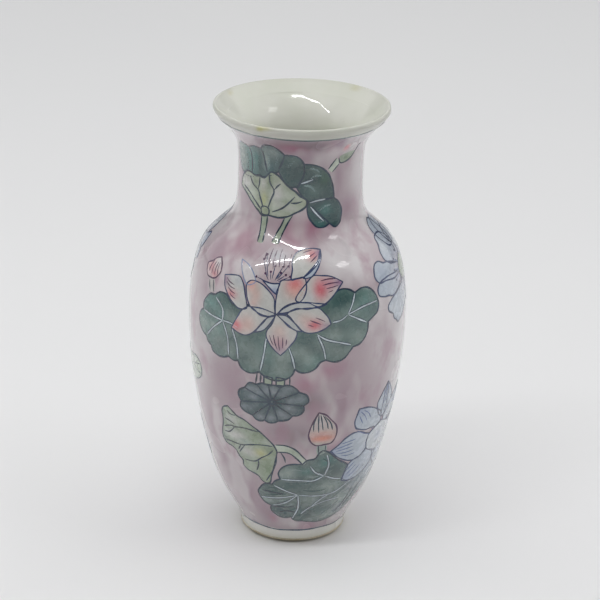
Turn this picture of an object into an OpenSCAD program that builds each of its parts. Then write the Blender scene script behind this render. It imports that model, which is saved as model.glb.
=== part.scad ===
// Porcelain lotus vase: a turned foot, a swelling body, a narrow neck and a flared, rolled mouth.
// The body is built the way a potter builds it, from sections luted together with slip at flat
// seams, and then covered with thin coats of glaze. Each section and each coat is a part of its own.
// Millimetres, +Z up, origin at the centre of the foot's resting face.

/* [Overall] */
// Height from the foot's resting face to the top of the lip
vase_h = 254; // [252:0.5:262]

/* [Foot] */
// Outer radius of the resting face
foot_face_r = 27.9; // [26.5:0.1:29]
// Radius of the recess inside the foot ring
foot_recess_r = 23.5; // [20:0.5:25]
// Height of the foot ring, which is also the depth of the recess
foot_h = 7; // [6:1:8]
// Height above the table at which the glaze stops
glaze_line_z = 3; // [2.5:0.1:3.5]

/* [Body] */
// Outer radius just above the foot
ankle_r = 30.7; // [30:0.1:32]
// Outer radius of the belly, the widest place
belly_r = 60.9; // [58:0.1:63]
// Height of the widest place
belly_z = 132; // [124:1:140]

/* [Neck and mouth] */
// Outer radius of the neck at its waist
neck_r = 34.3; // [33.5:0.1:35]
// Radius of the straight bore through the neck, inside its glaze
neck_bore_r = 30; // [28:0.1:30.5]
// Outer radius of the rolled lip
lip_outer_r = 48.2; // [46.5:0.1:50]
// Radius of the lip's rounded edge
lip_round_r = 2.5; // [2:0.1:3]

/* [Walls and coats] */
// Thickness of the floor
floor_t = 7; // [5:1:8]
// Thickness of a coat of glaze
coat_t = 0.3; // [0.2:0.05:0.4]

/* [Hidden] */
$fn = 96;

// Longest step between two points of a curved outline, and the turn between two points of an arc
outline_step = 2;
arc_step = 12;

// Heights of the seams, from the foot upwards
floor_top_z = foot_h + floor_t;
belly_seam_z = 80;
shoulder_seam_z = 150;
neck_seam_z = 200;
mouth_seam_z = 230;
lip_seam_z = vase_h - 6;

// The lip is a round bead that the outside meets along a 45 degree tangent
lip_centre_r = lip_outer_r - lip_round_r;
lip_centre_z = vase_h - lip_round_r;
lip_meet_r = lip_centre_r + lip_round_r * cos(45);
lip_meet_z = lip_centre_z - lip_round_r * sin(45);

// The outside and the inside as stations [height, radius, slope], with a smooth cubic between them
OUTSIDE = [
    [glaze_line_z, ankle_r - 0.6, 0.1],
    [foot_h, ankle_r + 0.3, 0.36],
    [20, 37.5, 0.57],
    [50, 49.3, 0.26],
    [belly_z, belly_r, 0],
    [162, belly_r - 2.8, -0.24],
    [180, 49.6, -0.92],
    [190, neck_r + 4.9, -0.85],
    [198, neck_r + 1, -0.16],
    [212, neck_r, 0],
    [232, neck_r + 0.6, 0.13],
    [lip_meet_z, lip_meet_r, 1.1],
];
INSIDE = [
    [floor_top_z, 28.2, 0.62],
    [24, 34.2, 0.56],
    [50, 44.3, 0.28],
    [belly_z, belly_r - 4.4, 0],
    [162, belly_r - 7, -0.24],
    [180, 45, -0.85],
    [189, 35.5, -0.9],
    [neck_seam_z, neck_bore_r + coat_t, 0],
    [mouth_seam_z, neck_bore_r + coat_t, 0],
    [lip_seam_z, lip_centre_r - 5, 1],
];

// Radius and slope of an outline of stations s at height z
function span(s, z, i = 0) = i + 2 >= len(s) || z <= s[i + 1][0] ? i : span(s, z, i + 1);
function cubic(t, h, a, b) =
    (2 * pow(t, 3) - 3 * pow(t, 2) + 1) * a[1] + (pow(t, 3) - 2 * pow(t, 2) + t) * h * a[2]
    + (3 * pow(t, 2) - 2 * pow(t, 3)) * b[1] + (pow(t, 3) - pow(t, 2)) * h * b[2];
function between(a, b, z) = cubic((z - a[0]) / (b[0] - a[0]), b[0] - a[0], a, b);
function radius(s, z) = let (i = span(s, z)) between(s[i], s[i + 1], z);
function slope(s, z) = (radius(s, z + 0.01) - radius(s, z - 0.01)) / 0.02;

// A coat's thickness measured level with the table, where the wall leans
function coat_width(s, z) = coat_t * sqrt(1 + pow(slope(s, z), 2));

// Heights from one seam to the next, and points of an outline at those heights
function heights(low, high) =
    let (count = ceil((high - low) / outline_step))
    [for (i = [0:count]) low + (high - low) * i / count];
function biscuit_outside(low, high) =
    [for (z = heights(low, high)) [radius(OUTSIDE, z) - coat_width(OUTSIDE, z), z]];
function glazed_outside(low, high) = [for (z = heights(low, high)) [radius(OUTSIDE, z), z]];
function biscuit_inside(low, high) = [for (z = heights(low, high)) [radius(INSIDE, z), z]];
function glazed_inside(low, high) =
    [for (z = heights(low, high)) [radius(INSIDE, z) - coat_width(INSIDE, z), z]];
function arc(centre, r, from, to) =
    let (count = ceil(abs(to - from) / arc_step))
    [for (i = [0:count]) let (a = from + (to - from) * i / count)
        [centre[0] + r * cos(a), centre[1] + r * sin(a)]];
function reversed(points) = [for (i = [len(points) - 1:-1:0]) points[i]];

// One turned section of the wall between two seams
module wall_section(low, high) {
    rotate_extrude()
        polygon(concat(biscuit_outside(low, high), reversed(biscuit_inside(low, high))));
}

// Turned foot ring with an unglazed, rounded resting edge
module foot_ring() {
    edge_r = foot_face_r - 1;
    ankle = radius(OUTSIDE, glaze_line_z);
    color("lightyellow")
        rotate_extrude()
            polygon(concat(
                [[foot_recess_r, 0.8], [foot_recess_r + 0.8, 0], [edge_r, 0]],
                arc([edge_r, 1], 1, -90, -40),
                [[ankle, 1.8], [ankle, glaze_line_z]],
                biscuit_outside(glaze_line_z, foot_h),
                [[foot_recess_r, foot_h]]
            ));
}

// Floor of the vase, a slab let into the lower body
module base_floor() {
    color("ivory")
        translate([0, 0, foot_h])
            cylinder(r = foot_face_r - 0.9, h = floor_t);
}

// Lower body, from the foot ring to the seam below the belly, with a seat for the floor
module lower_body() {
    color("ivory")
        rotate_extrude()
            polygon(concat(
                biscuit_outside(foot_h, floor_top_z),
                biscuit_outside(floor_top_z, belly_seam_z),
                reversed(biscuit_inside(floor_top_z, belly_seam_z)),
                [[foot_face_r - 0.9, floor_top_z], [foot_face_r - 0.9, foot_h]]
            ));
}

// Widest section of the body
module belly() {
    color("ivory") wall_section(belly_seam_z, shoulder_seam_z);
}

// Shoulder, which draws the body in to the root of the neck
module shoulder() {
    color("ivory") wall_section(shoulder_seam_z, neck_seam_z);
}

// Neck with a straight bore
module neck() {
    bore = neck_bore_r + coat_t;
    color("ivory")
        rotate_extrude()
            polygon(concat(
                biscuit_outside(neck_seam_z, mouth_seam_z),
                [[bore, mouth_seam_z], [bore, neck_seam_z]]
            ));
}

// Flared mouth
module mouth_flare() {
    color("ivory") wall_section(mouth_seam_z, lip_seam_z);
}

// Rolled lip, glazed all over
module lip_rim() {
    color("cornsilk")
        rotate_extrude()
            polygon(concat(
                [[radius(OUTSIDE, lip_seam_z), lip_seam_z]],
                arc([lip_centre_r, lip_centre_z], lip_round_r, -45, 205),
                [[radius(INSIDE, lip_seam_z) - coat_width(INSIDE, lip_seam_z), lip_seam_z]]
            ));
}

// Pink coat on the outside, from the glaze line at the foot to the lip
module outer_glaze() {
    seams = [glaze_line_z, foot_h, floor_top_z, belly_seam_z, shoulder_seam_z,
             neck_seam_z, mouth_seam_z, lip_seam_z];
    spans = [for (i = [0:len(seams) - 2]) [seams[i], seams[i + 1]]];
    outer = [for (s = spans) each glazed_outside(s[0], s[1])];
    inner = [for (s = spans) each biscuit_outside(s[0], s[1])];
    color("thistle")
        rotate_extrude()
            polygon(concat(outer, reversed(inner)));
}

// Clear coat inside, over the floor and up the wall to the lip
module inner_glaze() {
    below = [[floor_top_z, belly_seam_z], [belly_seam_z, shoulder_seam_z],
             [shoulder_seam_z, neck_seam_z]];
    outer = concat(
        [for (s = below) each biscuit_inside(s[0], s[1])],
        biscuit_inside(mouth_seam_z, lip_seam_z)
    );
    inner = concat(
        [for (s = below) each [for (p = glazed_inside(s[0], s[1])) if (p[1] > floor_top_z) p]],
        glazed_inside(mouth_seam_z, lip_seam_z)
    );
    floor_edge_r = inner[0][0] - 1.2;
    color("whitesmoke")
        rotate_extrude()
            polygon(concat(
                [[0, floor_top_z]],
                outer,
                reversed(inner),
                [[floor_edge_r, floor_top_z + coat_t], [0, floor_top_z + coat_t]]
            ));
}

// Clear coat under the floor, inside the foot ring
module base_glaze() {
    color("whitesmoke")
        translate([0, 0, foot_h - coat_t])
            cylinder(r = foot_recess_r, h = coat_t);
}

foot_ring();
base_floor();
lower_body();
belly();
shoulder();
neck();
mouth_flare();
lip_rim();
outer_glaze();
inner_glaze();
base_glaze();
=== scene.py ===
"""Looks of the porcelain lotus vase: smooth glaze, mottled pink ground and raised painted enamels.

The vase stands on its foot with its axis on Z, and its main flower faces -Y. A place on the glaze is
given by its angle in degrees (0 faces -Y, positive towards +X) and its height in millimetres.
"""
import math

import bpy
import numpy as np
from mathutils import Matrix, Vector
from mathutils.geometry import delaunay_2d_cdt


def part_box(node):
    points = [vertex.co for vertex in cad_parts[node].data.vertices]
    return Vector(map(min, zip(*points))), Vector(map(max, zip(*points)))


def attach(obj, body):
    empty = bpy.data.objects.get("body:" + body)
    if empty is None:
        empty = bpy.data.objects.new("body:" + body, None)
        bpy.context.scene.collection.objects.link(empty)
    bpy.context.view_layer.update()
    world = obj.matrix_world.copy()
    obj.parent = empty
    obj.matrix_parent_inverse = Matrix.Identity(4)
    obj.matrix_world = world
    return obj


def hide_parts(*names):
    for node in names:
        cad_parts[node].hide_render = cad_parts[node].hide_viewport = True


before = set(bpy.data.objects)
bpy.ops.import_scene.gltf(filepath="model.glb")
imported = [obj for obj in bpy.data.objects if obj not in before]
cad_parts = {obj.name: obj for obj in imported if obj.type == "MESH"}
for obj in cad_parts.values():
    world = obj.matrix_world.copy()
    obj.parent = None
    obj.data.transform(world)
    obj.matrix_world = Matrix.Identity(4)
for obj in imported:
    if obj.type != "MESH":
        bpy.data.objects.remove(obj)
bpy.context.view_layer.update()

MM = 0.001
TURN = 180  # degrees from the front composition to the back one

# Camera: its distance from the axis, height, pitch, roll and heading, and its lens
CAMERA_DISTANCE = 1033.4 * MM
CAMERA_HEIGHT = 573.1 * MM
CAMERA_PITCH = math.radians(22.79)
CAMERA_ROLL = math.radians(1.4)
CAMERA_HEADING = math.radians(0.075)
CAMERA_LENS = 119.8
CAMERA_SENSOR = 36

# Glaze and enamel thicknesses, in mm
COAT = 0.3
ENAMEL_HEIGHT = 0.05
LAYER_STEP = 0.03
EDGE_DROP = 0.03
SUNK = -0.03
BURIED = -0.12
EDGE_WIDTH = 0.4
VEIN_WIDTH = 1.6

# Spacing of the meshes, in mm, and the number of parts in a full turn
GRID = 1.4
OUTLINE_STEP = 0.8
LINE_STEP = 0.8
SEGMENTS = 180
DOT_SIDES = 10

# Heights on the vase, in mm, from the frame
FOOT_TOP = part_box("foot_ring")[1][2] / MM
LIP_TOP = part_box("lip_rim")[1][2] / MM
LIP_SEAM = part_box("lip_rim")[0][2] / MM
LIP_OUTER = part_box("lip_rim")[1][0] / MM
LIP_ROUND = 2.5
LIP_EDGE = 1.0
LIP_TILT = 25  # degrees from the middle of the lip's round up to its soft edge
GLAZE_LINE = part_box("outer_glaze")[0][2] / MM
BAND_TOP = 9.6
SHOULDER = 185.0


# ---------------------------------------------------------------- colours, linear
INK = (0.035, 0.052, 0.125)
INK_GREEN = (0.014, 0.034, 0.062)
INK_PLUM = (0.075, 0.030, 0.075)
CREAM = (0.55, 0.55, 0.53)
IVORY = (0.80, 0.79, 0.74)
SHELL = (0.49, 0.505, 0.505)
PLAIN_WHITE = (1.0, 1.0, 1.0)
CLOUD_WHITE = (0.93, 0.95, 0.90)
BASE_WHITE = (0.5, 0.5, 0.5)
BASE_CLOUD = (0.475, 0.48, 0.46)
# painted shade: the lip's outer round takes a darker white than the inside of the vase
SHADED_LIP_WHITE = (0.60, 0.595, 0.545)
INSIDE_WHITE = (0.765, 0.76, 0.705)
# painted shade: the inside near the lip gets a darker white, where the mouth's slope gets less light
INSIDE_EDGE_SHADE = (0.665, 0.665, 0.612)
RING_GREEN = (0.09, 0.15, 0.15)
RING_BLUE = (0.05, 0.08, 0.13)
PEACH = (0.66, 0.36, 0.31)
CORAL = (0.61, 0.12, 0.155)
ORANGE = (0.64, 0.24, 0.17)
ROSE = (0.52, 0.22, 0.28)
PLUM = (0.26, 0.13, 0.24)
BUD_MAUVE = (0.50, 0.43, 0.42)
BUD_PINK = (0.48, 0.41, 0.43)
BUD_ROSE = (0.60, 0.47, 0.48)
STEM_MAUVE = (0.50, 0.46, 0.45)
HAZE = (0.47, 0.38, 0.41)
HAZE_WARM = (0.60, 0.50, 0.50)
LEAF = (0.105, 0.182, 0.165)
LOW_GREEN = (0.135, 0.18, 0.172)
LOW_PALE = (0.24, 0.30, 0.29)
NECK_GREEN = (0.040, 0.092, 0.098)
NECK_PALE = (0.22, 0.31, 0.31)
NECK_TEAL = (0.13, 0.26, 0.25)
NECK_BLUE = (0.06, 0.14, 0.15)
NECK_MOSS = (0.045, 0.12, 0.075)
LEAF_DEEP = (0.034, 0.083, 0.082)
LEAF_RIB = (0.03, 0.07, 0.075)
LEAF_NIGHT = (0.018, 0.052, 0.058)
LEAF_TEAL = (0.07, 0.20, 0.185)
LEAF_PALE = (0.30, 0.365, 0.335)
LEAF_BLUE = (0.036, 0.080, 0.090)
LEAF_LILAC = (0.31, 0.335, 0.375)
VEIN = (0.52, 0.59, 0.63)
SPRING = (0.33, 0.385, 0.30)
SPRING_DEEP = (0.175, 0.24, 0.14)
SPRING_PALE = (0.50, 0.55, 0.47)
FAN_GREEN = (0.40, 0.44, 0.35)
FAN_OLIVE = (0.42, 0.44, 0.20)
FOLD_OLIVE = (0.50, 0.50, 0.26)
MIST = (0.42, 0.475, 0.55)
MIST_DEEP = (0.26, 0.31, 0.46)
MIST_PALE = (0.56, 0.595, 0.635)
STRIPE_BLUE = (0.11, 0.15, 0.31)
PINK = (0.435, 0.345, 0.38)
MILK = (0.64, 0.61, 0.62)
MAUVE = (0.30, 0.185, 0.24)
MAGENTA = (0.36, 0.11, 0.19)
DUSK = (0.17, 0.115, 0.14)
WASH_PALE = (0.66, 0.62, 0.63)
WASH_DEEP = (0.36, 0.21, 0.27)
FOOT_EDGE_TINT = (0.50, 0.48, 0.34)
RUST = (0.42, 0.40, 0.08)
RUST_WARM = (0.50, 0.46, 0.20)
RUST_PALE = (0.50, 0.46, 0.22)
RUST_FAINT = (0.52, 0.48, 0.26)
IRON = (0.16, 0.12, 0.09)
BISCUIT_PALE = (0.62, 0.57, 0.45)
BISCUIT_DEEP = (0.44, 0.37, 0.24)
PAPER_COOL = (0.80, 0.80, 0.81)
PAPER = (0.82, 0.82, 0.82)
DAYLIGHT = (0.97, 0.99, 1.0)


# ---------------------------------------------------------------- the shape of the glaze
def rings(node, pick):
    """Heights and radii, in mm, of the rings of a turned CAD node; pick is max outside, min inside."""
    found = {}
    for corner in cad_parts[node].data.vertices:
        height = round(corner.co.z / MM, 2)
        found.setdefault(height, []).append(math.hypot(corner.co.x, corner.co.y) / MM)
    heights = sorted(found)
    return np.array(heights), np.array([pick(found[h]) for h in heights])


def hermite(t, gap, start, end, start_slope, end_slope):
    """The smooth curve between two ends with their slopes, at the part t of the gap."""
    value = (2 * t**3 - 3 * t**2 + 1) * start + (t**3 - 2 * t**2 + t) * gap * start_slope
    value += (3 * t**2 - 2 * t**3) * end + (t**3 - t**2) * gap * end_slope
    return value


def smooth_table(heights, radii, step=0.25):
    """The rings joined by one smooth outline, as a fine table of heights and radii."""
    slopes = np.gradient(radii, heights)
    fine = np.arange(heights[0], heights[-1] + step / 2, step)
    fine = np.minimum(fine, heights[-1])
    i = np.clip(np.searchsorted(heights, fine, side="right") - 1, 0, len(heights) - 2)
    gap = heights[i + 1] - heights[i]
    return fine, hermite((fine - heights[i]) / gap, gap, radii[i], radii[i + 1], slopes[i], slopes[i + 1])


OUT_Z, OUT_R = smooth_table(*rings("outer_glaze", max))
OUT_SLOPE = np.gradient(OUT_R, OUT_Z)
OUT_ALONG = np.concatenate([[0], np.cumsum(np.hypot(np.diff(OUT_Z), np.diff(OUT_R)))])
IN_Z, IN_R = rings("inner_glaze", min)


def radius_at(height):
    return np.interp(height, OUT_Z, OUT_R)


def degree_at(height):
    """Width of one degree of turn, in mm, at a height."""
    return math.radians(1) * float(radius_at(height))


def along_at(height):
    """Distance up the outline, in mm, at a height."""
    return np.interp(height, OUT_Z, OUT_ALONG)


RIPPLE_WAVES = np.random.default_rng(11).uniform(0, 1, (12, 4))


def ripple(angle, height):
    """Slight unevenness of the poured glaze, in mm, in crossing waves; more on the shoulder."""
    total = np.zeros(np.broadcast(angle, height).shape)
    for turns, pitch, phase, size in RIPPLE_WAVES:
        cycles = round(44 * turns - 22)
        wave = np.radians(angle) * cycles + height * (0.15 + 0.3 * pitch) + phase * 2 * np.pi
        total += (0.0015 + 0.0035 * size) * np.sin(wave)
    return total * (1 + 1.6 * np.exp(-((height - SHOULDER) / 18) ** 2))


def turned(radius, angle, height):
    """Points in metres at a radius and height in mm and an angle in degrees."""
    turn = np.radians(angle)
    return np.stack([radius * np.sin(turn), -radius * np.cos(turn), height], -1) * MM


def on_glaze(angle, height, lift):
    """Points in metres on the glaze, raised by lift mm along its normal."""
    slope = np.interp(height, OUT_Z, OUT_SLOPE)
    length = np.hypot(1, slope)
    raised = lift + ripple(angle, height)
    return turned(radius_at(height) + raised / length, angle, height - raised * slope / length)


# ---------------------------------------------------------------- meshes
def new_object(name, data):
    item = bpy.data.objects.new(name, data)
    bpy.context.collection.objects.link(item)
    return item


def new_piece(name, points, faces, enamel, colours):
    """A mesh object that rides on the vase, with its vertex colours in the attribute "paint"."""
    material, slot = enamel
    mesh = bpy.data.meshes.new(name)
    mesh.from_pydata([tuple(p) for p in points], [], faces)
    mesh.validate()
    layer = mesh.color_attributes.new("paint", "FLOAT_COLOR", "POINT")
    rgba = np.ones((len(points), 4), np.float32)
    rgba[:, :3] = colours
    layer.data.foreach_set("color", rgba.ravel())
    mesh.shade_smooth()
    mesh.set_sharp_from_angle(angle=math.radians(40))
    mesh.materials.append(material)
    piece = new_object(name, mesh)
    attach(piece, "root")
    return piece


def net_faces(rows, columns, row_steps, column_steps, flipped=False):
    """Quads of a net of points given row by row; a step past the last row or column leads to the first."""
    faces = []
    for row in range(row_steps):
        here = row * columns
        there = (row + 1) % rows * columns
        for column in range(column_steps):
            after = (column + 1) % columns
            quad = (here + column, there + column, there + after, here + after)
            faces.append(quad[:1] + quad[:0:-1] if flipped else quad)
    return faces


def lathe_mesh(outline, uneven):
    """Points, faces, angles and heights of a closed outline of (radius, height) turned round Z, in mm."""
    outline = np.array(outline, float)
    angle, radius = np.meshgrid(np.arange(SEGMENTS) * 360 / SEGMENTS, outline[:, 0], indexing="ij")
    height = np.broadcast_to(outline[:, 1], radius.shape)
    points = turned(radius + uneven(angle, height), angle, height).reshape(-1, 3)
    count = len(outline)
    return points, net_faces(SEGMENTS, count, SEGMENTS, count), angle.ravel(), height.ravel()


# ---------------------------------------------------------------- tones laid over each other
def plain(colour, count):
    return np.tile(np.array(colour, float), (count, 1))


def soft_mix(colours, other, amount):
    return colours + (np.array(other) - colours) * np.clip(amount, 0, 1)[:, None]


def same_place(angle, height):
    return angle, height


def spotted(colours, angle, height, spots, place=same_place):
    """Colours with soft round spots on them, moved by place.

    spots are (angle, height, half width in degrees, half height in mm, colour, strength).
    """
    for where, level, wide, high, tone, strength in spots:
        where, level = place(where, level)
        across = (angle - where + 180) % 360 - 180
        spread = (across / wide) ** 2 + ((height - level) / high) ** 2
        colours = soft_mix(colours, tone, strength * np.exp(-spread))
    return colours


# ---------------------------------------------------------------- materials
class Look:
    """A material under construction: its shader, and the nodes that steer it."""

    def __init__(self, name):
        self.material = bpy.data.materials.new(name)
        self.material.use_nodes = True
        self.tree = self.material.node_tree
        self.tree.nodes.clear()
        self.shader = self.node("ShaderNodeBsdfPrincipled")
        out = self.node("ShaderNodeOutputMaterial")
        self.link(self.shader.outputs[0], out.inputs["Surface"])
        self.place = self.node("ShaderNodeTexCoord").outputs["Object"]

    def node(self, kind, **values):
        """A shader node with its settings and its plain input values."""
        node = self.tree.nodes.new(kind)
        for key, value in values.items():
            if key in node.inputs:
                node.inputs[key].default_value = value
            else:
                setattr(node, key, value)
        return node

    def link(self, source, socket):
        self.tree.links.new(source, socket)

    def attribute(self, name, output):
        return self.node("ShaderNodeAttribute", attribute_name=name).outputs[output]

    def noise(self, scale, detail=4.0, squeeze=None):
        """Noise; squeezed along Z it runs in upright brush marks."""
        noise = self.node("ShaderNodeTexNoise", Scale=scale, Detail=detail)
        place = self.place
        if squeeze:
            mapping = self.node("ShaderNodeMapping")
            mapping.inputs["Scale"].default_value = (1.0, 1.0, squeeze)
            self.link(place, mapping.inputs["Vector"])
            place = mapping.outputs[0]
        self.link(place, noise.inputs["Vector"])
        return noise.outputs["Fac"]

    def ranged(self, source, low, high, window=(0.3, 0.7)):
        """The source's values between the window's ends, spread from low to high."""
        ends = zip(("From Min", "From Max", "To Min", "To Max"), (*window, low, high))
        span = self.node("ShaderNodeMapRange", **dict(ends))
        self.link(source, span.inputs["Value"])
        return span.outputs["Result"]

    def clouds(self, scale, low, high, detail=4.0, window=(0.3, 0.7), squeeze=None):
        return self.ranged(self.noise(scale, detail, squeeze), low, high, window)

    def times(self, a, b):
        product = self.node("ShaderNodeMath", operation="MULTIPLY")
        self.link(a, product.inputs[0])
        self.link(b, product.inputs[1])
        return product.outputs[0]

    def blended(self, kind, factor, a, b):
        """A colour mix; factor, a and b are sockets or plain values."""
        mix = self.node("ShaderNodeMix", data_type="RGBA", blend_type=kind)
        for socket, value in ((mix.inputs[0], factor), (mix.inputs[6], a), (mix.inputs[7], b)):
            if isinstance(value, bpy.types.NodeSocket):
                self.link(value, socket)
            elif isinstance(value, tuple):
                socket.default_value = (*value, 1)
            else:
                socket.default_value = value
        return mix.outputs[2]

    def surface(self, colour, roughness):
        self.link(colour, self.shader.inputs["Base Color"])
        self.link(roughness, self.shader.inputs["Roughness"])

    def glassy(self, coat=1.0):
        """Glass-clear glaze over the colour."""
        self.shader.inputs["IOR"].default_value = 1.5
        self.shader.inputs["Coat Weight"].default_value = coat
        self.shader.inputs["Coat Roughness"].default_value = 0.02
        self.shader.inputs["Coat IOR"].default_value = 1.5

    def bump(self, depth=0.000001, scale=260.0):
        bump = self.node("ShaderNodeBump", Strength=1.0, Distance=depth)
        self.link(self.noise(scale, 2.0), bump.inputs["Height"])
        self.link(bump.outputs[0], self.shader.inputs["Normal"])


def painted_material(name, cloud, grain, roughness=(0.20, 0.34)):
    """Enamel whose colour is the mesh's own paint, clouded and grained like brushed pigment."""
    look = Look(name)
    clouds = look.clouds(130.0, 1 - cloud, 1 + cloud)
    grains = look.clouds(900.0, 1 - grain, 1 + grain, 2.0)
    colour = look.blended("MULTIPLY", 1.0, look.attribute("paint", "Color"), look.times(clouds, grains))
    look.surface(colour, look.clouds(300.0, *roughness))
    look.glassy()
    look.bump()
    return look.material


def ground_material():
    """Watery ground colour, wiped on in overlapping washes under the clear glaze."""
    look = Look("pink_ground_glaze")
    is_ground = look.attribute("wash", "Fac")
    pale = look.clouds(48.0, 0.0, 0.65, 2.0, (0.52, 0.66), 0.45)
    deep = look.clouds(75.0, 0.0, 0.60, 3.0, (0.54, 0.70), 0.6)
    colour = look.attribute("paint", "Color")
    for wash, tone in ((pale, WASH_PALE), (deep, WASH_DEEP)):
        colour = look.blended("MIX", look.times(wash, is_ground), colour, tone)
    colour = look.blended("MULTIPLY", 1.0, colour, look.clouds(500.0, 0.985, 1.015, 2.0))
    look.surface(colour, look.clouds(40.0, 0.24, 0.28, 1.0))
    look.glassy()
    return look.material


def porcelain_material(name, white, cloudy, painted):
    """Clear glaze over warm white porcelain, with faint clouds and a few iron specks."""
    look = Look(name)
    base = look.blended("MIX", look.clouds(45.0, 0.0, 1.0), white, cloudy)
    if painted:
        base = look.blended("MULTIPLY", 1.0, look.attribute("paint", "Color"), base)
    cells = look.node("ShaderNodeTexVoronoi", Scale=150.0)
    look.link(look.place, cells.inputs["Vector"])
    dots = look.ranged(cells.outputs["Distance"], 0.55, 0.0, (0.03, 0.07))
    rare = look.clouds(60.0, 0.0, 1.0, window=(0.60, 0.64))
    colour = look.blended("MIX", look.times(dots, rare), base, IRON)
    look.surface(colour, look.clouds(240.0, 0.32, 0.44))
    look.glassy(0.6)
    look.bump()
    return look.material


def biscuit_material():
    """Bare fired clay of the foot's edge and of the wall inside the glaze."""
    look = Look("biscuit")
    base = look.blended("MIX", look.clouds(120.0, 0.0, 1.0), BISCUIT_PALE, BISCUIT_DEEP)
    colour = look.blended("MULTIPLY", 1.0, base, look.clouds(1400.0, 0.85, 1.08, 3.0))
    look.surface(colour, look.clouds(700.0, 0.62, 0.82))
    look.bump(0.00006, 1500.0)
    return look.material


PETAL_PAINT = painted_material("petal_enamel_paint", 0.05, 0.02)
# What a visual piece is made of: its material and its slot
GROUND = (ground_material(), "pink_ground")
WHITE = (porcelain_material("clear_glaze_white", PLAIN_WHITE, CLOUD_WHITE, True), "clear_glaze")
LEAF_ENAMEL = (painted_material("leaf_enamel_paint", 0.11, 0.04), "leaf_enamel")
PETAL_ENAMEL = (PETAL_PAINT, "petal_enamel")
BLUE_ENAMEL = (PETAL_PAINT, "blue_enamel")
LINE_ENAMEL = (painted_material("outline_enamel_paint", 0.25, 0.10, (0.18, 0.30)), "outline_enamel")


# ---------------------------------------------------------------- the vase's own coats
# Soft clouds of the ground at the front and the sides, and a painted shadow under the lip
CLOUDS_AND_LIP_SHADE = [
    (-75, 125, 16, 38, MILK, 0.6), (-68, 60, 14, 40, MILK, 0.25), (-82, 190, 14, 9, MILK, 0.9),
    (-34, 174, 5, 5, MILK, 0.8), (22, 180, 10, 9, MILK, 1.0), (38, 178, 12, 9, MILK, 1.0),
    (46, 188, 14, 6, MILK, 0.9), (-30, 190, 8, 3, MILK, 0.6), (-52, 128, 9, 9, MILK, 0.5),
    (62, 222, 14, 14, MILK, 0.7), (74, 120, 10, 26, MILK, 0.6), (76, 192, 12, 10, MILK, 1.0),
    (-50, 197, 9, 4, MILK, 0.5), (0, 16, 20, 5, MILK, 0.3), (-48, 18, 14, 9, MILK, 0.4),
    (48, 128, 8, 12, MILK, 0.4), (-56, 112, 7, 10, MILK, 0.4), (-20, 96, 6, 5, MILK, 0.3),
    (-3, 193, 11, 7, MAGENTA, 0.6), (11, 197, 8, 6, MAGENTA, 0.6), (-46, 186, 13, 8, MAGENTA, 0.5),
    # painted shadow: the wide DUSK band just under the lip is shade cast by the lip
    (0, 242, 48, 4, DUSK, 0.7), (-8, 241, 10, 3, MAGENTA, 0.6), (30, 239, 8, 4, MAGENTA, 0.6),
    (4, 235, 9, 4, MAUVE, 0.8), (35, 222, 6, 10, MAUVE, 0.6), (48, 204, 9, 6, MAUVE, 0.8),
    (-60, 178, 6, 9, MAUVE, 0.6), (-47, 165, 4, 4, MAGENTA, 0.7), (-55, 158, 6, 5, MAUVE, 0.4),
    (-46, 176, 5, 4, MAUVE, 0.6), (5, 114, 6, 7, MAGENTA, 0.55), (17, 122, 6, 5, MAGENTA, 0.5),
    (8, 103, 9, 7, DUSK, 0.6), (-35, 108, 8, 14, MAUVE, 0.5), (3, 79, 9, 9, DUSK, 0.65),
    (-8, 85, 7, 5, DUSK, 0.4), (27, 92, 6, 24, MAUVE, 0.8), (24, 77, 5, 6, MAGENTA, 0.5),
    (3, 68, 5, 4, MAGENTA, 0.5), (-44, 48, 10, 18, MAUVE, 0.7), (-56, 76, 8, 12, MAUVE, 0.6),
    (-36, 36, 9, 9, MAUVE, 0.7), (-22, 24, 8, 10, MAUVE, 0.7), (-17, 19, 4, 4, MAGENTA, 0.5),
    (14, 13, 8, 4, MAGENTA, 0.5), (-46, 112, 8, 12, MAUVE, 0.3), (60, 140, 8, 12, MAUVE, 0.4),
    (-40, 140, 60, 3, MAUVE, 0.2), (80, 150, 10, 30, MILK, 0.7), (76, 84, 9, 30, MILK, 0.8),
    (-84, 160, 9, 24, MILK, 0.7), (-82, 92, 9, 24, MILK, 0.4), (66, 140, 13, 30, MILK, 0.5),
    (68, 108, 10, 20, MILK, 0.5), (40, 150, 6, 10, MILK, 0.5), (-14, 64, 5, 4, MILK, 0.4),
]


def ground_colours(angle, height):
    """Watery pink with soft white and mauve clouds, placed in front and scattered behind, and a painted
    shadow under the lip.
    """
    chance = np.random.default_rng(5)
    scattered = []
    for _ in range(70):
        place = (chance.uniform(95, 265), chance.uniform(14, 236))
        size = (chance.uniform(6, 16), chance.uniform(5, 16))
        tone = (MILK, MAUVE, MAGENTA, MAUVE, MILK)[chance.integers(5)]
        scattered.append((*place, *size, tone, chance.uniform(0.3, 0.8)))
    colours = spotted(plain(PINK, len(angle)), angle, height, CLOUDS_AND_LIP_SHADE + scattered)
    colours = soft_mix(colours, IVORY, (BAND_TOP + 0.3 - height) / 0.6)
    # darker and yellower towards the glaze line at the foot
    toward_glaze_line = np.clip((GLAZE_LINE + 3.2 - height) / 3.2, 0, 1)
    return soft_mix(colours, FOOT_EDGE_TINT, 0.35 * toward_glaze_line)


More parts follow.
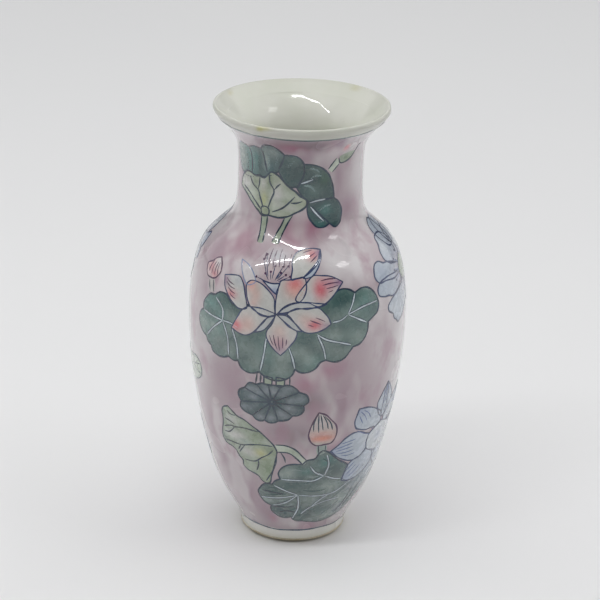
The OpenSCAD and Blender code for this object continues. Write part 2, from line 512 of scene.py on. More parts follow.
def glaze_coat():
    """Outer coat of glaze, from the glaze line at the foot to the lip."""
    heights = np.append(np.arange(GLAZE_LINE, LIP_SEAM, 1.25), LIP_SEAM)
    outer = [(radius_at(h), h) for h in heights]
    inner = [(radius_at(h) - COAT, h) for h in heights[::-2]]
    points, faces, angle, height = lathe_mesh(outer + inner, ripple)
    piece = new_piece("glaze_coat", points, faces, GROUND, ground_colours(angle, height))
    wash = piece.data.attributes.new("wash", "FLOAT", "POINT")
    wash.data.foreach_set("value", np.clip((height - BAND_TOP) / 4, 0, 1).astype(np.float32))
    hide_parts("outer_glaze")


# Old stains on the lip
LIP_STAINS = [
    (-27, 252.6, 2.2, 1.4, RUST, 0.8), (-23, 253.2, 3.0, 0.9, RUST_WARM, 0.6),
    (140, 253.0, 4.0, 1.0, RUST_PALE, 0.6), (-118, 252.5, 3.0, 1.0, RUST_FAINT, 0.5),
]


def lip_unevenness(angle, height):
    """The lip is a little out of round."""
    turn = np.radians(angle)
    return 0.12 * np.sin(3 * turn + 1) + 0.07 * np.sin(7 * turn) + 0.03 * np.sin(19 * turn)


def lip_bead():
    """Thick lip: round outside, with a soft edge where the slope of the mouth begins."""
    centre_r = LIP_OUTER - LIP_ROUND
    inside_r = float(np.interp(LIP_SEAM, IN_Z, IN_R))
    step = LIP_ROUND - LIP_EDGE
    rise = step * math.sin(math.radians(LIP_TILT))
    centre_z = LIP_TOP - LIP_EDGE - rise
    edge_r = centre_r + step * math.cos(math.radians(LIP_TILT))
    outline = [(radius_at(LIP_SEAM) - 0.05, LIP_SEAM)]
    rounds = ((centre_r, centre_z, LIP_ROUND, -58, 23), (edge_r, centre_z + rise, LIP_EDGE, LIP_TILT, 126))
    for r, z, size, start, end in rounds:
        for degrees in range(start, end, 9):
            turn = math.radians(degrees)
            outline.append((r + size * math.cos(turn), z + size * math.sin(turn)))
    top_r, top_z = outline[-1]
    for part in (0.75, 0.5, 0.25, 0):
        outline.append((inside_r + (top_r - inside_r) * part, LIP_SEAM + (top_z - LIP_SEAM) * part))
    points, faces, angle, height = lathe_mesh(outline, lip_unevenness)
    from_axis = np.hypot(points[:, 0], points[:, 1]) / MM
    # Painted shade: the lip's outer round is a darker white, and its inner edge takes the darker shade of
    # the mouth's slope
    colours = soft_mix(plain(SHADED_LIP_WHITE, len(points)), INSIDE_EDGE_SHADE, (centre_r + 1.2 - from_axis) / 2)
    piece = new_piece("lip_bead", points, faces, WHITE, spotted(colours, angle, height, LIP_STAINS))
    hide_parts("lip_rim")


def inner_ripple(angle, height):
    """The coat inside is less even than the outer one, but smooth on the floor."""
    return 4 * ripple(angle, height) * (height > FOOT_TOP + 12)


def inner_coat():
    """Clear coat inside, down to the floor."""
    wall = IN_Z > FOOT_TOP + 8.5
    heights, radii = smooth_table(IN_Z[wall], IN_R[wall], 2.0)
    floor_z = heights[0] - 1.6
    hub = 0.02  # the outline stays just off the axis, so that no face shrinks to a point
    inner = list(zip(radii, heights))
    outer = [(r + COAT, h) for r, h in zip(radii[::-3], heights[::-3])]
    fillet = [(radii[0] + COAT, floor_z), (hub, floor_z - COAT), (hub, floor_z), (radii[0] - 1.5, floor_z)]
    points, faces, _, height = lathe_mesh(inner + outer + fillet, inner_ripple)
    # Painted shade: the inside is darker towards the lip
    colours = soft_mix(plain(INSIDE_WHITE, len(points)), INSIDE_EDGE_SHADE, (height - 215) / 25)
    piece = new_piece("inner_coat", points, faces, WHITE, colours)
    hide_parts("inner_glaze")


def finish_frame_nodes():
    """CAD nodes that stay get their fired clay or glaze."""
    clay = ("foot_ring", "base_floor", "lower_body", "belly", "shoulder", "neck", "mouth_flare")
    looks = dict.fromkeys(clay, biscuit_material())
    looks["base_glaze"] = porcelain_material("base_glaze_white", BASE_WHITE, BASE_CLOUD, False)
    for name, material in looks.items():
        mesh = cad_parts[name].data
        mesh.materials.clear()
        mesh.materials.append(material)


glaze_coat()
lip_bead()
inner_coat()
finish_frame_nodes()


# ---------------------------------------------------------------- painting on the glaze
CORNER = "corner"  # third value of an outline point where the brush turns sharply


def behind(angle, height):
    """The mirrored place on the back of the vase."""
    return TURN - angle, height


def left_low(angle, height):
    """Where the left side repeats the low blue lotus, smaller."""
    return -94 + 0.55 * (BLUE_LOTUS_MIDDLE - angle), 52 + 0.75 * (height - 70)


def left_high(angle, height):
    """Where the left side repeats the high blue flower, smaller."""
    return -101 + 0.62 * (BLUE_BLOOM_MIDDLE - angle), 170 + 0.8 * (height - 162)


def both_halves(middle, *paintings):
    """Two turns of a loop: one paints a half motif in its place, the other paints it mirrored."""
    place = paintings[0].place
    for side in (place, lambda angle, height: place(2 * middle - angle, height)):
        for painting in paintings:
            painting.place = side
        yield
    for painting in paintings:
        painting.place = place


class Chart:
    """A flat map of the glaze near some points: x along the turn and y up the outline, in mm."""

    def __init__(self, place, points):
        self.place = place
        placed = np.array([place(p[0], p[1]) for p in points], float)
        self.scale = degree_at(placed[:, 1].mean())
        self.points = np.stack([placed[:, 0] * self.scale, along_at(placed[:, 1])], -1)
        self.corners = [i for i, p in enumerate(points) if len(p) == 3]

    def angle_height(self, flat):
        return flat[:, 0] / self.scale, np.interp(flat[:, 1], OUT_ALONG, OUT_Z)

    def curve(self, step, closed=False):
        """A smooth line through the points, turning sharply only at corners."""
        flat, corners = self.points, self.corners
        if closed and not corners:
            return smooth_run(np.vstack([flat[-1:], flat, flat[:2]]), step)[:-1]
        if closed:
            ends = [c - corners[0] for c in corners] + [len(flat)]
            flat = np.vstack([flat[corners[0]:], flat[:corners[0] + 1]])
        else:
            ends = sorted({0, *corners, len(flat) - 1})
        parts = []
        for a, b in zip(ends, ends[1:]):
            run = flat[a:b + 1]
            padded = np.vstack([2 * run[0] - run[1], run, 2 * run[-1] - run[-2]])
            parts.append(smooth_run(padded, step)[:-1])
        if not closed:
            parts.append(flat[-1:])
        return np.vstack(parts)


def smooth_run(points, step):
    """A smooth curve through all points but the first and last, which only steer its ends."""
    gaps = lengths(np.diff(points, axis=0))[:, None]
    speeds = np.diff(points, axis=0) / gaps
    before, after = gaps[:-1], gaps[1:]
    tangents = (speeds[:-1] * after + speeds[1:] * before) / (before + after)
    parts = []
    for i in range(1, len(points) - 2):
        gap = gaps[i]
        t = np.linspace(0, 1, max(2, int(gap[0] / step) + 1), endpoint=False)[:, None]
        parts.append(hermite(t, gap, points[i], points[i + 1], tangents[i - 1], tangents[i]))
    parts.append(points[-2:-1])
    return np.vstack(parts)


def lengths(vectors):
    return np.linalg.norm(vectors, axis=-1)


def sideways(along):
    """Unit vectors at the left of some flat vectors."""
    along = along / np.maximum(lengths(along), 1e-6)[:, None]
    return np.stack([-along[:, 1], along[:, 0]], -1)


def round_steps(path):
    """At each point of a closed path, the way from the point before it to the one after it."""
    return np.roll(path, -1, axis=0) - np.roll(path, 1, axis=0)


def rim_distance(points, rim):
    """Distance from each point to the closed rim."""
    side = (np.roll(rim, -1, axis=0) - rim)[None]
    reach = points[:, None] - rim[None]
    t = np.clip((reach * side).sum(-1) / np.maximum((side * side).sum(-1), 1e-12), 0, 1)
    return lengths(reach - t[..., None] * side).min(axis=1)


def inside_rim(points, rim):
    x, y = points[:, None, 0], points[:, None, 1]
    a, b = rim[None], np.roll(rim, -1, axis=0)[None]
    crossing = (a[..., 1] > y) != (b[..., 1] > y)
    rise = np.where(b[..., 1] == a[..., 1], 1.0, b[..., 1] - a[..., 1])
    at = a[..., 0] + (y - a[..., 1]) / rise * (b[..., 0] - a[..., 0])
    return (crossing & (x < at)).sum(axis=1) % 2 == 1


def field_net(rim):
    """Flat points and faces that fill a rim: the rim, a ring just inside it, and an even grid."""
    low, high = rim.min(axis=0), rim.max(axis=0)
    rows = np.arange(low[1], high[1], GRID * 0.87)
    x, y = np.meshgrid(np.arange(low[0], high[0], GRID), rows)
    x = x + (np.arange(len(rows)) % 2 * GRID / 2)[:, None]
    grid = np.stack([x.ravel(), y.ravel()], -1)
    across = sideways(round_steps(rim)) * EDGE_WIDTH
    ring = np.vstack([rim + across, rim - across])
    flat = [rim]
    for points, clearance in ((ring, 0.85 * EDGE_WIDTH), (grid, EDGE_WIDTH + 0.45 * GRID)):
        points = points[inside_rim(points, rim)]
        flat.append(points[rim_distance(points, rim) > clearance])
    found = delaunay_2d_cdt([tuple(p) for p in np.vstack(flat)], [], [list(range(len(rim)))], 1, 1e-4)
    return np.array([tuple(p) for p in found[0]]), [tuple(face) for face in found[2]]


def level_height(level):
    return ENAMEL_HEIGHT + LAYER_STEP * level


class Painting:
    """Enamel laid on the glaze: fields and brush lines, gathered into one closed mesh."""

    def __init__(self, place, enamel):
        self.place = place
        self.enamel = enamel
        self.points = []
        self.colours = []
        self.faces = []
        self.count = 0

    def add(self, angle, height, lift, faces, colours):
        self.points.append(on_glaze(angle, height, lift))
        self.colours.append(colours)
        self.faces += [tuple(int(i) + self.count for i in face) for face in faces]
        self.count += len(angle)

    def field(self, outline, colour, spots=(), level=0, streaks=None):
        """A flat field of enamel with a soft rim.

        streaks are (angle, height, colour, strength, number) of brush marks spreading from a point.
        """
        chart = Chart(self.place, outline)
        rim = chart.curve(OUTLINE_STEP, closed=True)
        flat, top_faces = field_net(rim)
        angle, height = chart.angle_height(flat)
        rise = np.clip(rim_distance(flat, rim) / EDGE_WIDTH, 0, 1)
        top = SUNK + (level_height(level) - SUNK) * rise
        shade = plain(colour, len(flat))
        if streaks:
            shade = self.brush_marks(shade, angle, height, *streaks)
        shade = spotted(shade, angle, height, spots, self.place)
        sides = [pair for face in top_faces for pair in zip(face, face[1:] + face[:1])]
        known = set(sides)
        count = len(flat)
        under = [tuple(i + count for i in reversed(face)) for face in top_faces]
        walls = [(b, a, a + count, b + count) for a, b in sides if (b, a) not in known]
        lift = np.concatenate([top, np.full(count, BURIED)])
        faces = top_faces + under + walls
        self.add(np.tile(angle, 2), np.tile(height, 2), lift, faces, np.tile(shade, (2, 1)))

    def brush_marks(self, shade, angle, height, where, where_z, tone, strength, number):
        hub_angle, hub_height = self.place(where, where_z)
        bearing = np.arctan2(height - hub_height, (angle - hub_angle) * degree_at(where_z))
        wave = np.sin(number * bearing + 1) + 0.6 * np.sin(2.3 * number * bearing + hub_height)
        return soft_mix(shade, tone, strength * (0.5 + 0.31 * wave))

    def line(self, points, colour=INK, width=1.0, level=3, closed=False, taper=0.35):
        """A brush line: thin at its ends, with a slightly uneven edge."""
        chart = Chart(self.place, points)
        path = chart.curve(LINE_STEP, closed)
        path = path[np.append(True, lengths(np.diff(path, axis=0)) > 0.05)]
        count = len(path)
        across = sideways(round_steps(path) if closed else np.gradient(path, axis=0))
        travelled = np.append(0, np.cumsum(lengths(np.diff(path, axis=0))))
        top = np.full(count, level_height(level))
        pressure = np.ones(count)
        if not closed:
            top[[0, -1]] = SUNK
            reach = np.minimum(travelled, travelled[-1] - travelled)
            pressure = taper + (1 - taper) * np.clip(reach / 2.5, 0, 1)
        wobble = 0.16 * np.sin(travelled / 2.1 + path[0, 0]) + 0.08 * np.sin(travelled / 0.9 + path[0, 1])
        half = width / 2 * pressure * (1 + wobble)
        low, edge = np.full(count, BURIED), np.maximum(top - EDGE_DROP, BURIED)
        section = ((1, low), (1, edge), (0.4, top), (-0.4, top), (-1, edge), (-1, low))
        flat = [path + across * (half * side)[:, None] for side, _ in section]
        angle, height = chart.angle_height(np.vstack(flat))
        lift = np.concatenate([part for _, part in section])
        rows = len(section)
        faces = net_faces(rows, count, rows, count if closed else count - 1)
        if not closed:
            faces.append(tuple(j * count for j in reversed(range(rows))))
            faces.append(tuple(j * count + count - 1 for j in range(rows)))
        self.add(angle, height, lift, faces, plain(colour, rows * count))

    def lines(self, paths, *style, **more):
        """Brush lines of one style."""
        for points in paths:
            self.line(points, *style, **more)

    def outline(self, points, colour=INK, width=1.0, level=3):
        self.line(points, colour, width, level, closed=True)

    def dot(self, where, where_z, size, colour):
        """A touch of the brush tip, size mm across its half width."""
        centre_angle, centre_z = self.place(where, where_z)
        turns = np.radians(np.arange(DOT_SIDES) * 360 / DOT_SIDES)
        rim = 1 + 0.15 * np.sin(3 * turns + centre_z)
        top = level_height(3)
        sets = ((1.0, BURIED), (1.0, top - EDGE_DROP), (0.6, top))
        step = 1 / degree_at(centre_z)
        angle = np.concatenate([centre_angle + step * size * part * rim * np.cos(turns) for part, _ in sets])
        height = np.concatenate([centre_z + size * part * rim * np.sin(turns) for part, _ in sets])
        lift = np.repeat([up for _, up in sets], DOT_SIDES)
        faces = [tuple(reversed(range(DOT_SIDES))), tuple(range(2 * DOT_SIDES, 3 * DOT_SIDES))]
        faces += net_faces(3, DOT_SIDES, 2, DOT_SIDES, flipped=True)
        self.add(angle, height, lift, faces, plain(colour, 3 * DOT_SIDES))

    def build(self, name):
        new_piece(name, np.vstack(self.points), self.faces, self.enamel, np.vstack(self.colours))


def fan(hub, *runs):
    """Brush lines that spread from one hub."""
    return [(hub, *run) for run in runs]


def double_veins(lines, veins):
    """Pale ribs left between two dark edges."""
    for points in veins:
        lines.line(points, INK_GREEN, VEIN_WIDTH, level=1, taper=0.6)
        lines.line(points, VEIN, VEIN_WIDTH * 0.46, level=2, taper=0.5)


def lobe_spots(outline, hub, dark, pale, size):
    """Dark pigment gathered along the ribs and a paler middle in each lobe, as the brush leaves it."""
    corners = [p for p in outline if len(p) == 3]
    spots = []
    for here, after in zip(corners, corners[1:] + corners[:1]):
        middle = ((here[0] + after[0]) / 2, (here[1] + after[1]) / 2)
        for at, tone, strength in ((here, dark, 0.85), (middle, pale, 0.75)):
            for reach in (0.62, 0.86):
                spots.append((hub[0] + (at[0] - hub[0]) * reach, hub[1] + (at[1] - hub[1]) * reach,
                              size, size * 0.8, tone, strength * (0.6 + 0.4 * math.sin(at[0] + reach * 9))))
    return spots


# ---------------------------------------------------------------- the main lotus and its leaf
WIDE_LEAF = [
    (14, 160.3), (18, 163.5), (21, 166.5), (25, 167.5), (29, 166.5), (32, 164.5, CORNER), (36, 166),
    (40, 165.8), (44, 163), (46.5, 159), (47.3, 155), (46, 151), (42, 148.5), (39.3, 147, CORNER),
    (39, 143), (37.5, 139), (34, 135.5), (30, 134.6, CORNER), (28, 132), (26, 129.5), (23, 127.7),
    (19, 127.5), (15.2, 129, CORNER), (12.5, 128), (10, 124.5), (6, 122.2), (2, 122.3), (-0.5, 124, CORNER),
    (-2, 120.3), (-5, 117.8), (-10, 116.5), (-15, 117.5), (-19, 120.5, CORNER), (-22, 119.2), (-26, 119),
    (-29.5, 121.2), (-31, 124.5, CORNER), (-34, 124), (-37, 125.3, CORNER), (-41, 123.7), (-45, 123.6),
    (-49, 125.5), (-49.7, 127.6, CORNER), (-52.5, 129), (-54, 131.7, CORNER), (-57, 132.7), (-60.3, 136),
    (-61.5, 140), (-60.5, 143.8), (-57.5, 146.3, CORNER), (-57.8, 150), (-55.5, 154), (-53, 156.5),
    (-49, 157.3, CORNER), (-45, 160), (-41, 159.8), (-36, 156), (-30, 157), (-10, 159), (10, 159),
]
LEAF_SPOTS = [
    (-10, 125, 18, 9, LEAF_DEEP, 0.55), (18, 133, 10, 8, LEAF_DEEP, 0.55),
    (40, 156, 9, 10, LEAF_PALE, 0.25), (-50, 150, 9, 8, LEAF_TEAL, 0.8), (-33, 152, 6, 5, LEAF_DEEP, 0.9),
    (-48, 138, 8, 6, LEAF_TEAL, 0.7), (-24, 132, 8, 9, LEAF_DEEP, 0.7), (-40, 132, 7, 5, LEAF_PALE, 0.5),
    (-8, 124, 7, 5, LEAF_PALE, 0.6), (-15, 130, 5, 6, LEAF_TEAL, 0.7), (4, 140, 5, 6, LEAF_DEEP, 0.9),
    (8, 130, 6, 5, LEAF_TEAL, 0.7), (22, 161, 4, 5, LEAF_DEEP, 0.8), (24, 133, 7, 4, LEAF_PALE, 0.5),
    (28, 145, 7, 4, LEAF, 0.6), (38, 158, 6, 6, LEAF_TEAL, 0.6), (43, 153, 5, 5, LEAF_BLUE, 0.6),
    (16, 149, 4, 6, LEAF_DEEP, 0.6), (33, 140, 4, 4, LEAF_PALE, 0.5), (-57, 138, 4, 5, LEAF_PALE, 0.6),
    (-2, 130, 4, 6, LEAF_PALE, 0.4),
]
LEAF_VEINS = [
    *fan((-41.5, 145), ((-49, 145.2), (-57, 146)), ((-48, 139), (-53.5, 132.5)), ((-38, 137), (-37, 126)),
         ((-42, 151), (-48, 156.5)), ((-36, 145), (-31, 143.5))),
    ((-35.5, 143.5), (-32, 134), (-31, 125)),
    *fan((27, 153.5), ((30, 159), (32, 164.5)), ((33, 150), (38.5, 146.8)), ((23, 151), (18, 150.3)),
         ((36, 156), (46.5, 157))),
    ((-18.5, 121), (-16.5, 132), (-15.5, 141)), ((-0.5, 124), (-2, 131), (-4, 137)),
    ((15, 129.3), (14, 135), (10.5, 144)), ((10, 144.5), (15, 141), (22, 138.5), (29, 136)),
]

# Pale haze of the far petals behind the stamens
FAR_PETALS = [
    (-30, 168), (-31, 175), (-25, 182), (-18, 187.5), (-12, 188), (-5, 187), (-1, 183), (0, 176), (-3, 171),
    (-16, 169),
]
HAZE_SPOTS = [
    (-26, 174, 4, 4, MILK, 0.8), (-14, 183, 7, 3, MIST_PALE, 0.7), (-15, 176, 6, 3, HAZE_WARM, 0.7),
]
FAINT_PETAL = [(-28, 168), (-33, 173), (-36.5, 179, CORNER), (-31, 177.5), (-26, 174), (-24, 170)]
# Petals, back ones first: outline, base colour, soft spots
LOTUS_PETALS = [
    ([(-39, 170.8), (-34, 171), (-31, 168), (-29, 163), (-27.5, 158.5), (-27, 156), (-31, 154.5),
      (-36, 157), (-40, 160.5), (-42.5, 163.5), (-44.5, 169.5, CORNER)],
     CREAM, [(-43.5, 167, 3.5, 4, PLUM, 0.8), (-38, 161, 4, 2.5, CORAL, 0.7), (-34, 169, 4, 3, MIST, 0.4)]),
    ([(3, 174), (8, 174.8), (10, 176.5), (13, 180), (15, 183.5), (15.3, 186, CORNER), (11, 180.5),
      (7, 177.5)], MIST, []),
    ([(-3, 173), (-3.5, 178), (-4, 181), (-2, 184.5), (4, 186.3), (10, 186.5), (15.3, 186, CORNER),
      (14, 183), (11, 179.5), (8, 177.5), (5, 175.5), (3, 174.5), (-2, 173.3)],
     CREAM, [(9, 184, 4.5, 2.6, CORAL, 0.8), (14, 184.6, 2.5, 2.2, PLUM, 0.9)]),
    ([(0, 162.2), (5, 172), (9, 175.2), (13, 175), (18, 174.5), (22, 173), (25.5, 171, CORNER), (22, 167.5),
      (18, 163.5), (14, 160.5), (11, 159.5), (6, 161.5), (1, 162)],
     CREAM, [(12.5, 168.5, 4.2, 5.5, CORAL, 0.95), (18, 171, 4.5, 3.5, ROSE, 0.8),
        (23.5, 171, 3, 2.5, PLUM, 0.9), (6, 164, 3, 3, MIST_PALE, 0.5)]),
    ([(-11, 155), (-11.5, 160), (-11, 166), (-9, 172.5), (-5, 173), (0, 174), (3.5, 174.5), (4.5, 172),
      (4, 166), (1, 162), (-2, 161.5), (-7, 159)],
     CREAM, [(-1.5, 170.8, 4.6, 4, CORAL, 1.0), (-1.5, 168, 5, 4.5, PEACH, 0.7)]),
    ([(-11.5, 155), (-25, 157), (-28, 163), (-28.5, 169), (-27, 170.3), (-21, 170), (-16, 167),
      (-12.5, 163), (-11.8, 158)],
     CREAM, [(-26, 168.5, 3, 3.5, PEACH, 0.9), (-22.5, 163.5, 3, 4.5, PEACH, 0.5),
        (-24, 159, 2.5, 2, PEACH, 0.4)]),
    ([(-10.5, 155, CORNER), (-7, 158.4), (-2, 161.1), (4, 162), (10, 161.3), (15.5, 160.6, CORNER),
      (12, 159.2), (6, 158.9), (0, 158.2), (-5, 156.4)], SHELL, []),
    ([(-11.5, 154), (-15, 153), (-19, 153.2), (-23, 156), (-25.5, 157), (-29, 155), (-32, 150), (-34, 146),
      (-35.5, 142.8, CORNER), (-31, 141), (-27, 140.6), (-24, 142), (-21, 145), (-17, 150), (-15.5, 152.3),
      (-12, 154)], CREAM, [(-32.5, 145, 3.6, 3.4, CORAL, 0.95), (-26, 147, 4.5, 5, PEACH, 0.6)]),
    ([(-25, 157, CORNER), (-19, 157.1), (-14, 156), (-10.5, 154.8, CORNER), (-15, 153.3), (-19, 153.8)],
     SHELL, []),
    ([(-11, 154.4, CORNER), (-15.8, 152), (-19, 148), (-21.8, 143.2, CORNER), (-17, 145.4), (-13.8, 149.4)],
     SHELL, [(-19, 145, 3, 2, MIST, 0.5)]),
    ([(-5, 155), (-1, 158.5), (5, 158.3), (11, 158.8), (14, 156), (16.5, 152.5), (17.5, 149.5, CORNER),
      (14, 147), (10, 145.5), (4, 145.7), (2, 147), (-1, 150.5), (-4, 154.3)],
     CREAM, [(9, 149.5, 4.2, 3.2, CORAL, 0.95), (4, 153, 4, 3, PEACH, 0.4), (15, 148.5, 3, 2.4, PLUM, 0.5)]),
    ([(-10.5, 154.8, CORNER), (-5.6, 154.4), (-1.5, 151), (3, 146, CORNER), (-1, 146.8), (-5, 150),
      (-8.4, 152.8)], SHELL, []),
    ([(-11, 154.5), (-8, 152.5), (-4, 148.5), (0, 146), (-0.5, 142), (-3, 138), (-6, 134),
      (-8, 131.8, CORNER), (-11, 134.5), (-14, 138.5), (-15.5, 142), (-15.5, 144.5), (-13, 149),
      (-11.5, 153)],
     CREAM, [(-9, 139, 5, 4.5, ROSE, 0.65), (-8, 134.5, 3.5, 3.5, PLUM, 0.5), (-9, 146, 4, 4, PEACH, 0.4)]),
]
PETAL_STRIPES = [
    ((12, 172.5), (17, 173.2), (22, 173)), ((13, 170.3), (18, 171), (24, 171.2)),
    ((15, 168.5), (19, 169), (23, 169.7)), ((16, 166.5), (18, 167), (20, 167.8)),
    ((5, 150), (7, 149.3), (9, 148.5)), ((6, 152.5), (9.5, 151), (13, 149.5)),
    ((9, 153.8), (12, 152.5), (15, 151)), ((-14, 143.5), (-13, 140), (-11.5, 137)),
    ((-12, 144), (-11, 139), (-9.5, 134.5)), ((-9.5, 143.5), (-9, 138), (-8.3, 134)),
    ((-7, 143), (-7, 139), (-7, 135.5)), ((-5, 142), (-5.2, 139), (-5.5, 137)),
    ((2, 184.5), (6, 185.4), (10, 186)), ((5, 182.5), (8.5, 183.8), (12, 185)),
    ((7, 180.7), (10, 182.4), (13, 184)), ((-43, 169), (-40, 167), (-36, 166)),
    ((-42.5, 167), (-39, 164.8), (-35, 164)), ((-41, 164.5), (-38, 162.5), (-34.5, 161.5)),
    ((-39, 161.5), (-37, 160), (-34, 159)), ((-22, 184), (-21.5, 181), (-20.5, 178)),
    ((-18, 186), (-18.5, 182), (-18, 178)), ((-15, 185.5), (-15.5, 181), (-15, 177)),
    ((-11.5, 186), (-12, 182), (-11.5, 178)), ((-8.5, 184), (-9, 181), (-8.7, 178)),
    ((-4.5, 184.5), (-5.5, 181), (-5.5, 178)),
]
SEED_POD = [(-20, 171.6, CORNER), (-14.5, 170.6), (-9.8, 171, CORNER), (-11.8, 165.5, CORNER)]
STAMENS = [
    (-24, 172.8), (-21, 183), (-22, 181), (-19, 175), (-16, 176), (-14, 179), (-10, 176), (-9, 179),
    (-6, 179.3), (-7, 175.2), (-4.5, 174.5),
]


def lotus(leaf, petals, lines):
    """Open lotus with coral petal tips, on its wide scalloped leaf."""
    shades = lobe_spots(WIDE_LEAF, (-5, 146), LEAF_DEEP, LEAF_PALE, 5)
    leaf.field(WIDE_LEAF, LEAF, LEAF_SPOTS + shades, 0, (-5, 150, LEAF_DEEP, 0.35, 9))
    lines.outline(WIDE_LEAF, INK_GREEN, 1.0, level=1)
    double_veins(lines, LEAF_VEINS)
    petals.field(FAR_PETALS, HAZE, HAZE_SPOTS)
    petals.field(FAINT_PETAL, MILK, [(-36, 178.5, 3, 2, ROSE, 0.5)], 1)
    lines.outline(FAINT_PETAL, MIST_DEEP, 0.6)
    for outline, colour, spots in LOTUS_PETALS:
        petals.field(outline, colour, spots, 2)
        lines.outline(outline, INK, 0.7)
    petals.field(SEED_POD, MIST_PALE, [(-12.5, 167, 2.5, 2, MIST_DEEP, 0.8)], 2.3)
    lines.outline(SEED_POD, INK, 0.8)
    lines.lines(PETAL_STRIPES, INK_PLUM, 0.6, taper=0.2)
    for where, height in STAMENS:
        root = (-15 + (where + 15) * 0.35, 171 + (height - 171) * 0.2)
        lines.line([root, (where, height)], INK, 0.5, taper=0.3)
        lines.dot(where, height, 0.65, INK_PLUM)
    lines.line([(-10.5, 155.3), (-7, 155.4), (-4.5, 155.2)], INK, 1.4)


# ---------------------------------------------------------------- the round ribbed leaf
ROUND_LEAF = [
    (-14, 113, CORNER), (-17, 114), (-20.5, 112.5, CORNER), (-24.5, 112.8), (-27.5, 109, CORNER),
    (-30.5, 107), (-31.5, 103.5), (-30, 100, CORNER), (-30.5, 96.5), (-28, 94), (-23.5, 92.5, CORNER),
    (-21.5, 90.3), (-18, 90), (-16.5, 90.8, CORNER), (-14.5, 89.6), (-11, 89.8), (-9, 91.2, CORNER),
    (-6, 91.6), (-3, 92.8), (-1.3, 95, CORNER), (2, 95.5), (4.6, 98.5), (4.5, 101.5, CORNER), (7, 104),
    (6, 108), (2, 110, CORNER), (0, 112.5), (-2.5, 114), (-6, 113.7), (-7.8, 112.5, CORNER), (-11, 113.6),
]
ROUND_LEAF_HUB = (-12.3, 103)
ROUND_SPOTS = [
    (-26, 109, 3, 2, LEAF_LILAC, 0.6), (-29, 97, 3, 2, LEAF_LILAC, 0.5), (3, 106, 3, 2.5, LEAF_LILAC, 0.5),
    (-4, 95, 4, 2, LEAF_LILAC, 0.4), (-19, 92, 3, 2, LEAF_LILAC, 0.4), (-3, 112, 4, 2, LEAF_LILAC, 0.5),
]
ROUND_STALKS = [((-20, 120.5), (-21, 113)), ((-18, 120), (-18.5, 114)), ((-3, 120), (-3, 114))]


def round_leaf(leaf, lines):
    """Round ribbed leaf hanging below the lotus."""
    shades = lobe_spots(ROUND_LEAF, ROUND_LEAF_HUB, LEAF_RIB, LEAF_LILAC, 2.4)
    leaf.field(ROUND_LEAF, LEAF_BLUE, shades + ROUND_SPOTS)
    for x in (-16.5, -10):
        stem = [(x, 118.5, CORNER), (x + 4.5, 118, CORNER), (x + 4.2, 113.6, CORNER), (x, 113.6, CORNER)]
        leaf.field(stem, SPRING)
        lines.outline(stem, INK_GREEN, 0.9, level=1)
    lines.outline(ROUND_LEAF, INK_GREEN, 1.0, level=1)
    ribs = [[ROUND_LEAF_HUB, p[:2]] for p in ROUND_LEAF if len(p) == 3]
    lines.lines(ribs, INK_GREEN, 0.95, level=1, taper=0.7)
    lines.outline([(-10, 103), (-12.3, 105.2), (-14.6, 103), (-12.3, 100.8)], INK_GREEN, 0.9, level=2)
    lines.lines(ROUND_STALKS, INK_GREEN, 1.0, level=1)


# ---------------------------------------------------------------- the folded leaf, the bud and the low leaf
FOLDED_LEAF = [
    (-11.5, 74), (-15, 78), (-20, 82.5), (-24, 85), (-29, 88), (-34, 89.5), (-36.5, 91.5),
    (-39.5, 93.7, CORNER), (-43, 92), (-44.5, 89), (-44.3, 85), (-45, 80), (-46.7, 75), (-46.5, 71),
    (-44, 68), (-40, 67.3), (-37, 65.5, CORNER), (-35, 62), (-33, 60), (-33, 56.5), (-30, 54),
    (-25.5, 52.7, CORNER), (-23, 51.5), (-21, 49), (-19, 47.5), (-16, 47.5), (-14, 53), (-12, 60),
    (-10.5, 67), (-10, 70),
]
FOLD_SPOTS = [
    (-22, 77, 6, 4, SPRING_DEEP, 0.8), (-16, 58, 4, 6, SPRING_DEEP, 0.7), (-45, 73, 3, 4, LEAF_DEEP, 0.5),
    (-38, 86, 5, 3, CREAM, 0.9), (-36, 76, 8, 3.5, CREAM, 1.0), (-28, 67, 7, 3.2, CREAM, 0.9),
    (-20, 68, 4, 3, FOLD_OLIVE, 0.9), (-30, 73.5, 4, 1.5, LEAF_PALE, 0.8), (-16, 76, 5, 1.5, CREAM, 0.5),
    (-44, 88, 2, 3, LEAF_DEEP, 0.5), (-26, 57, 4, 3, SPRING_PALE, 0.5), (-13, 70, 3, 3, SPRING_DEEP, 0.5),
]
FOLD_LINES = [
    ((-41, 91), (-38, 89), (-34, 89.3)), ((-20, 82), (-24, 82.3), (-29, 82.5), (-34, 81.8), (-38, 80.5)),
    ((-43.5, 85), (-40, 84.5), (-35.5, 83)), ((-44.5, 79), (-40, 81), (-36, 82)),
    ((-45, 76), (-41, 76.5), (-36, 81)),
    ((-12, 73.8), (-20, 73.5), (-27, 72), (-32, 70.5), (-40, 70.5), (-46, 70)),
    ((-30, 71), (-34, 66), (-35, 64.5)), ((-33, 70.5), (-35.5, 66)),
    ((-11.8, 71.5), (-15, 68), (-20, 64.5), (-24, 61.5), (-32, 61)), ((-22, 64), (-22, 60), (-24, 54.5)),
    ((-10, 69), (-11, 62), (-14, 55), (-18, 48.5)), ((-8, 70.5), (-5.5, 66), (-5, 63)),
]
FOLD_STALK = [(-11, 75), (-5, 75), (0, 73), (5, 68), (8, 64.5), (6, 61.5), (2, 66), (-3, 70), (-10, 70.3)]


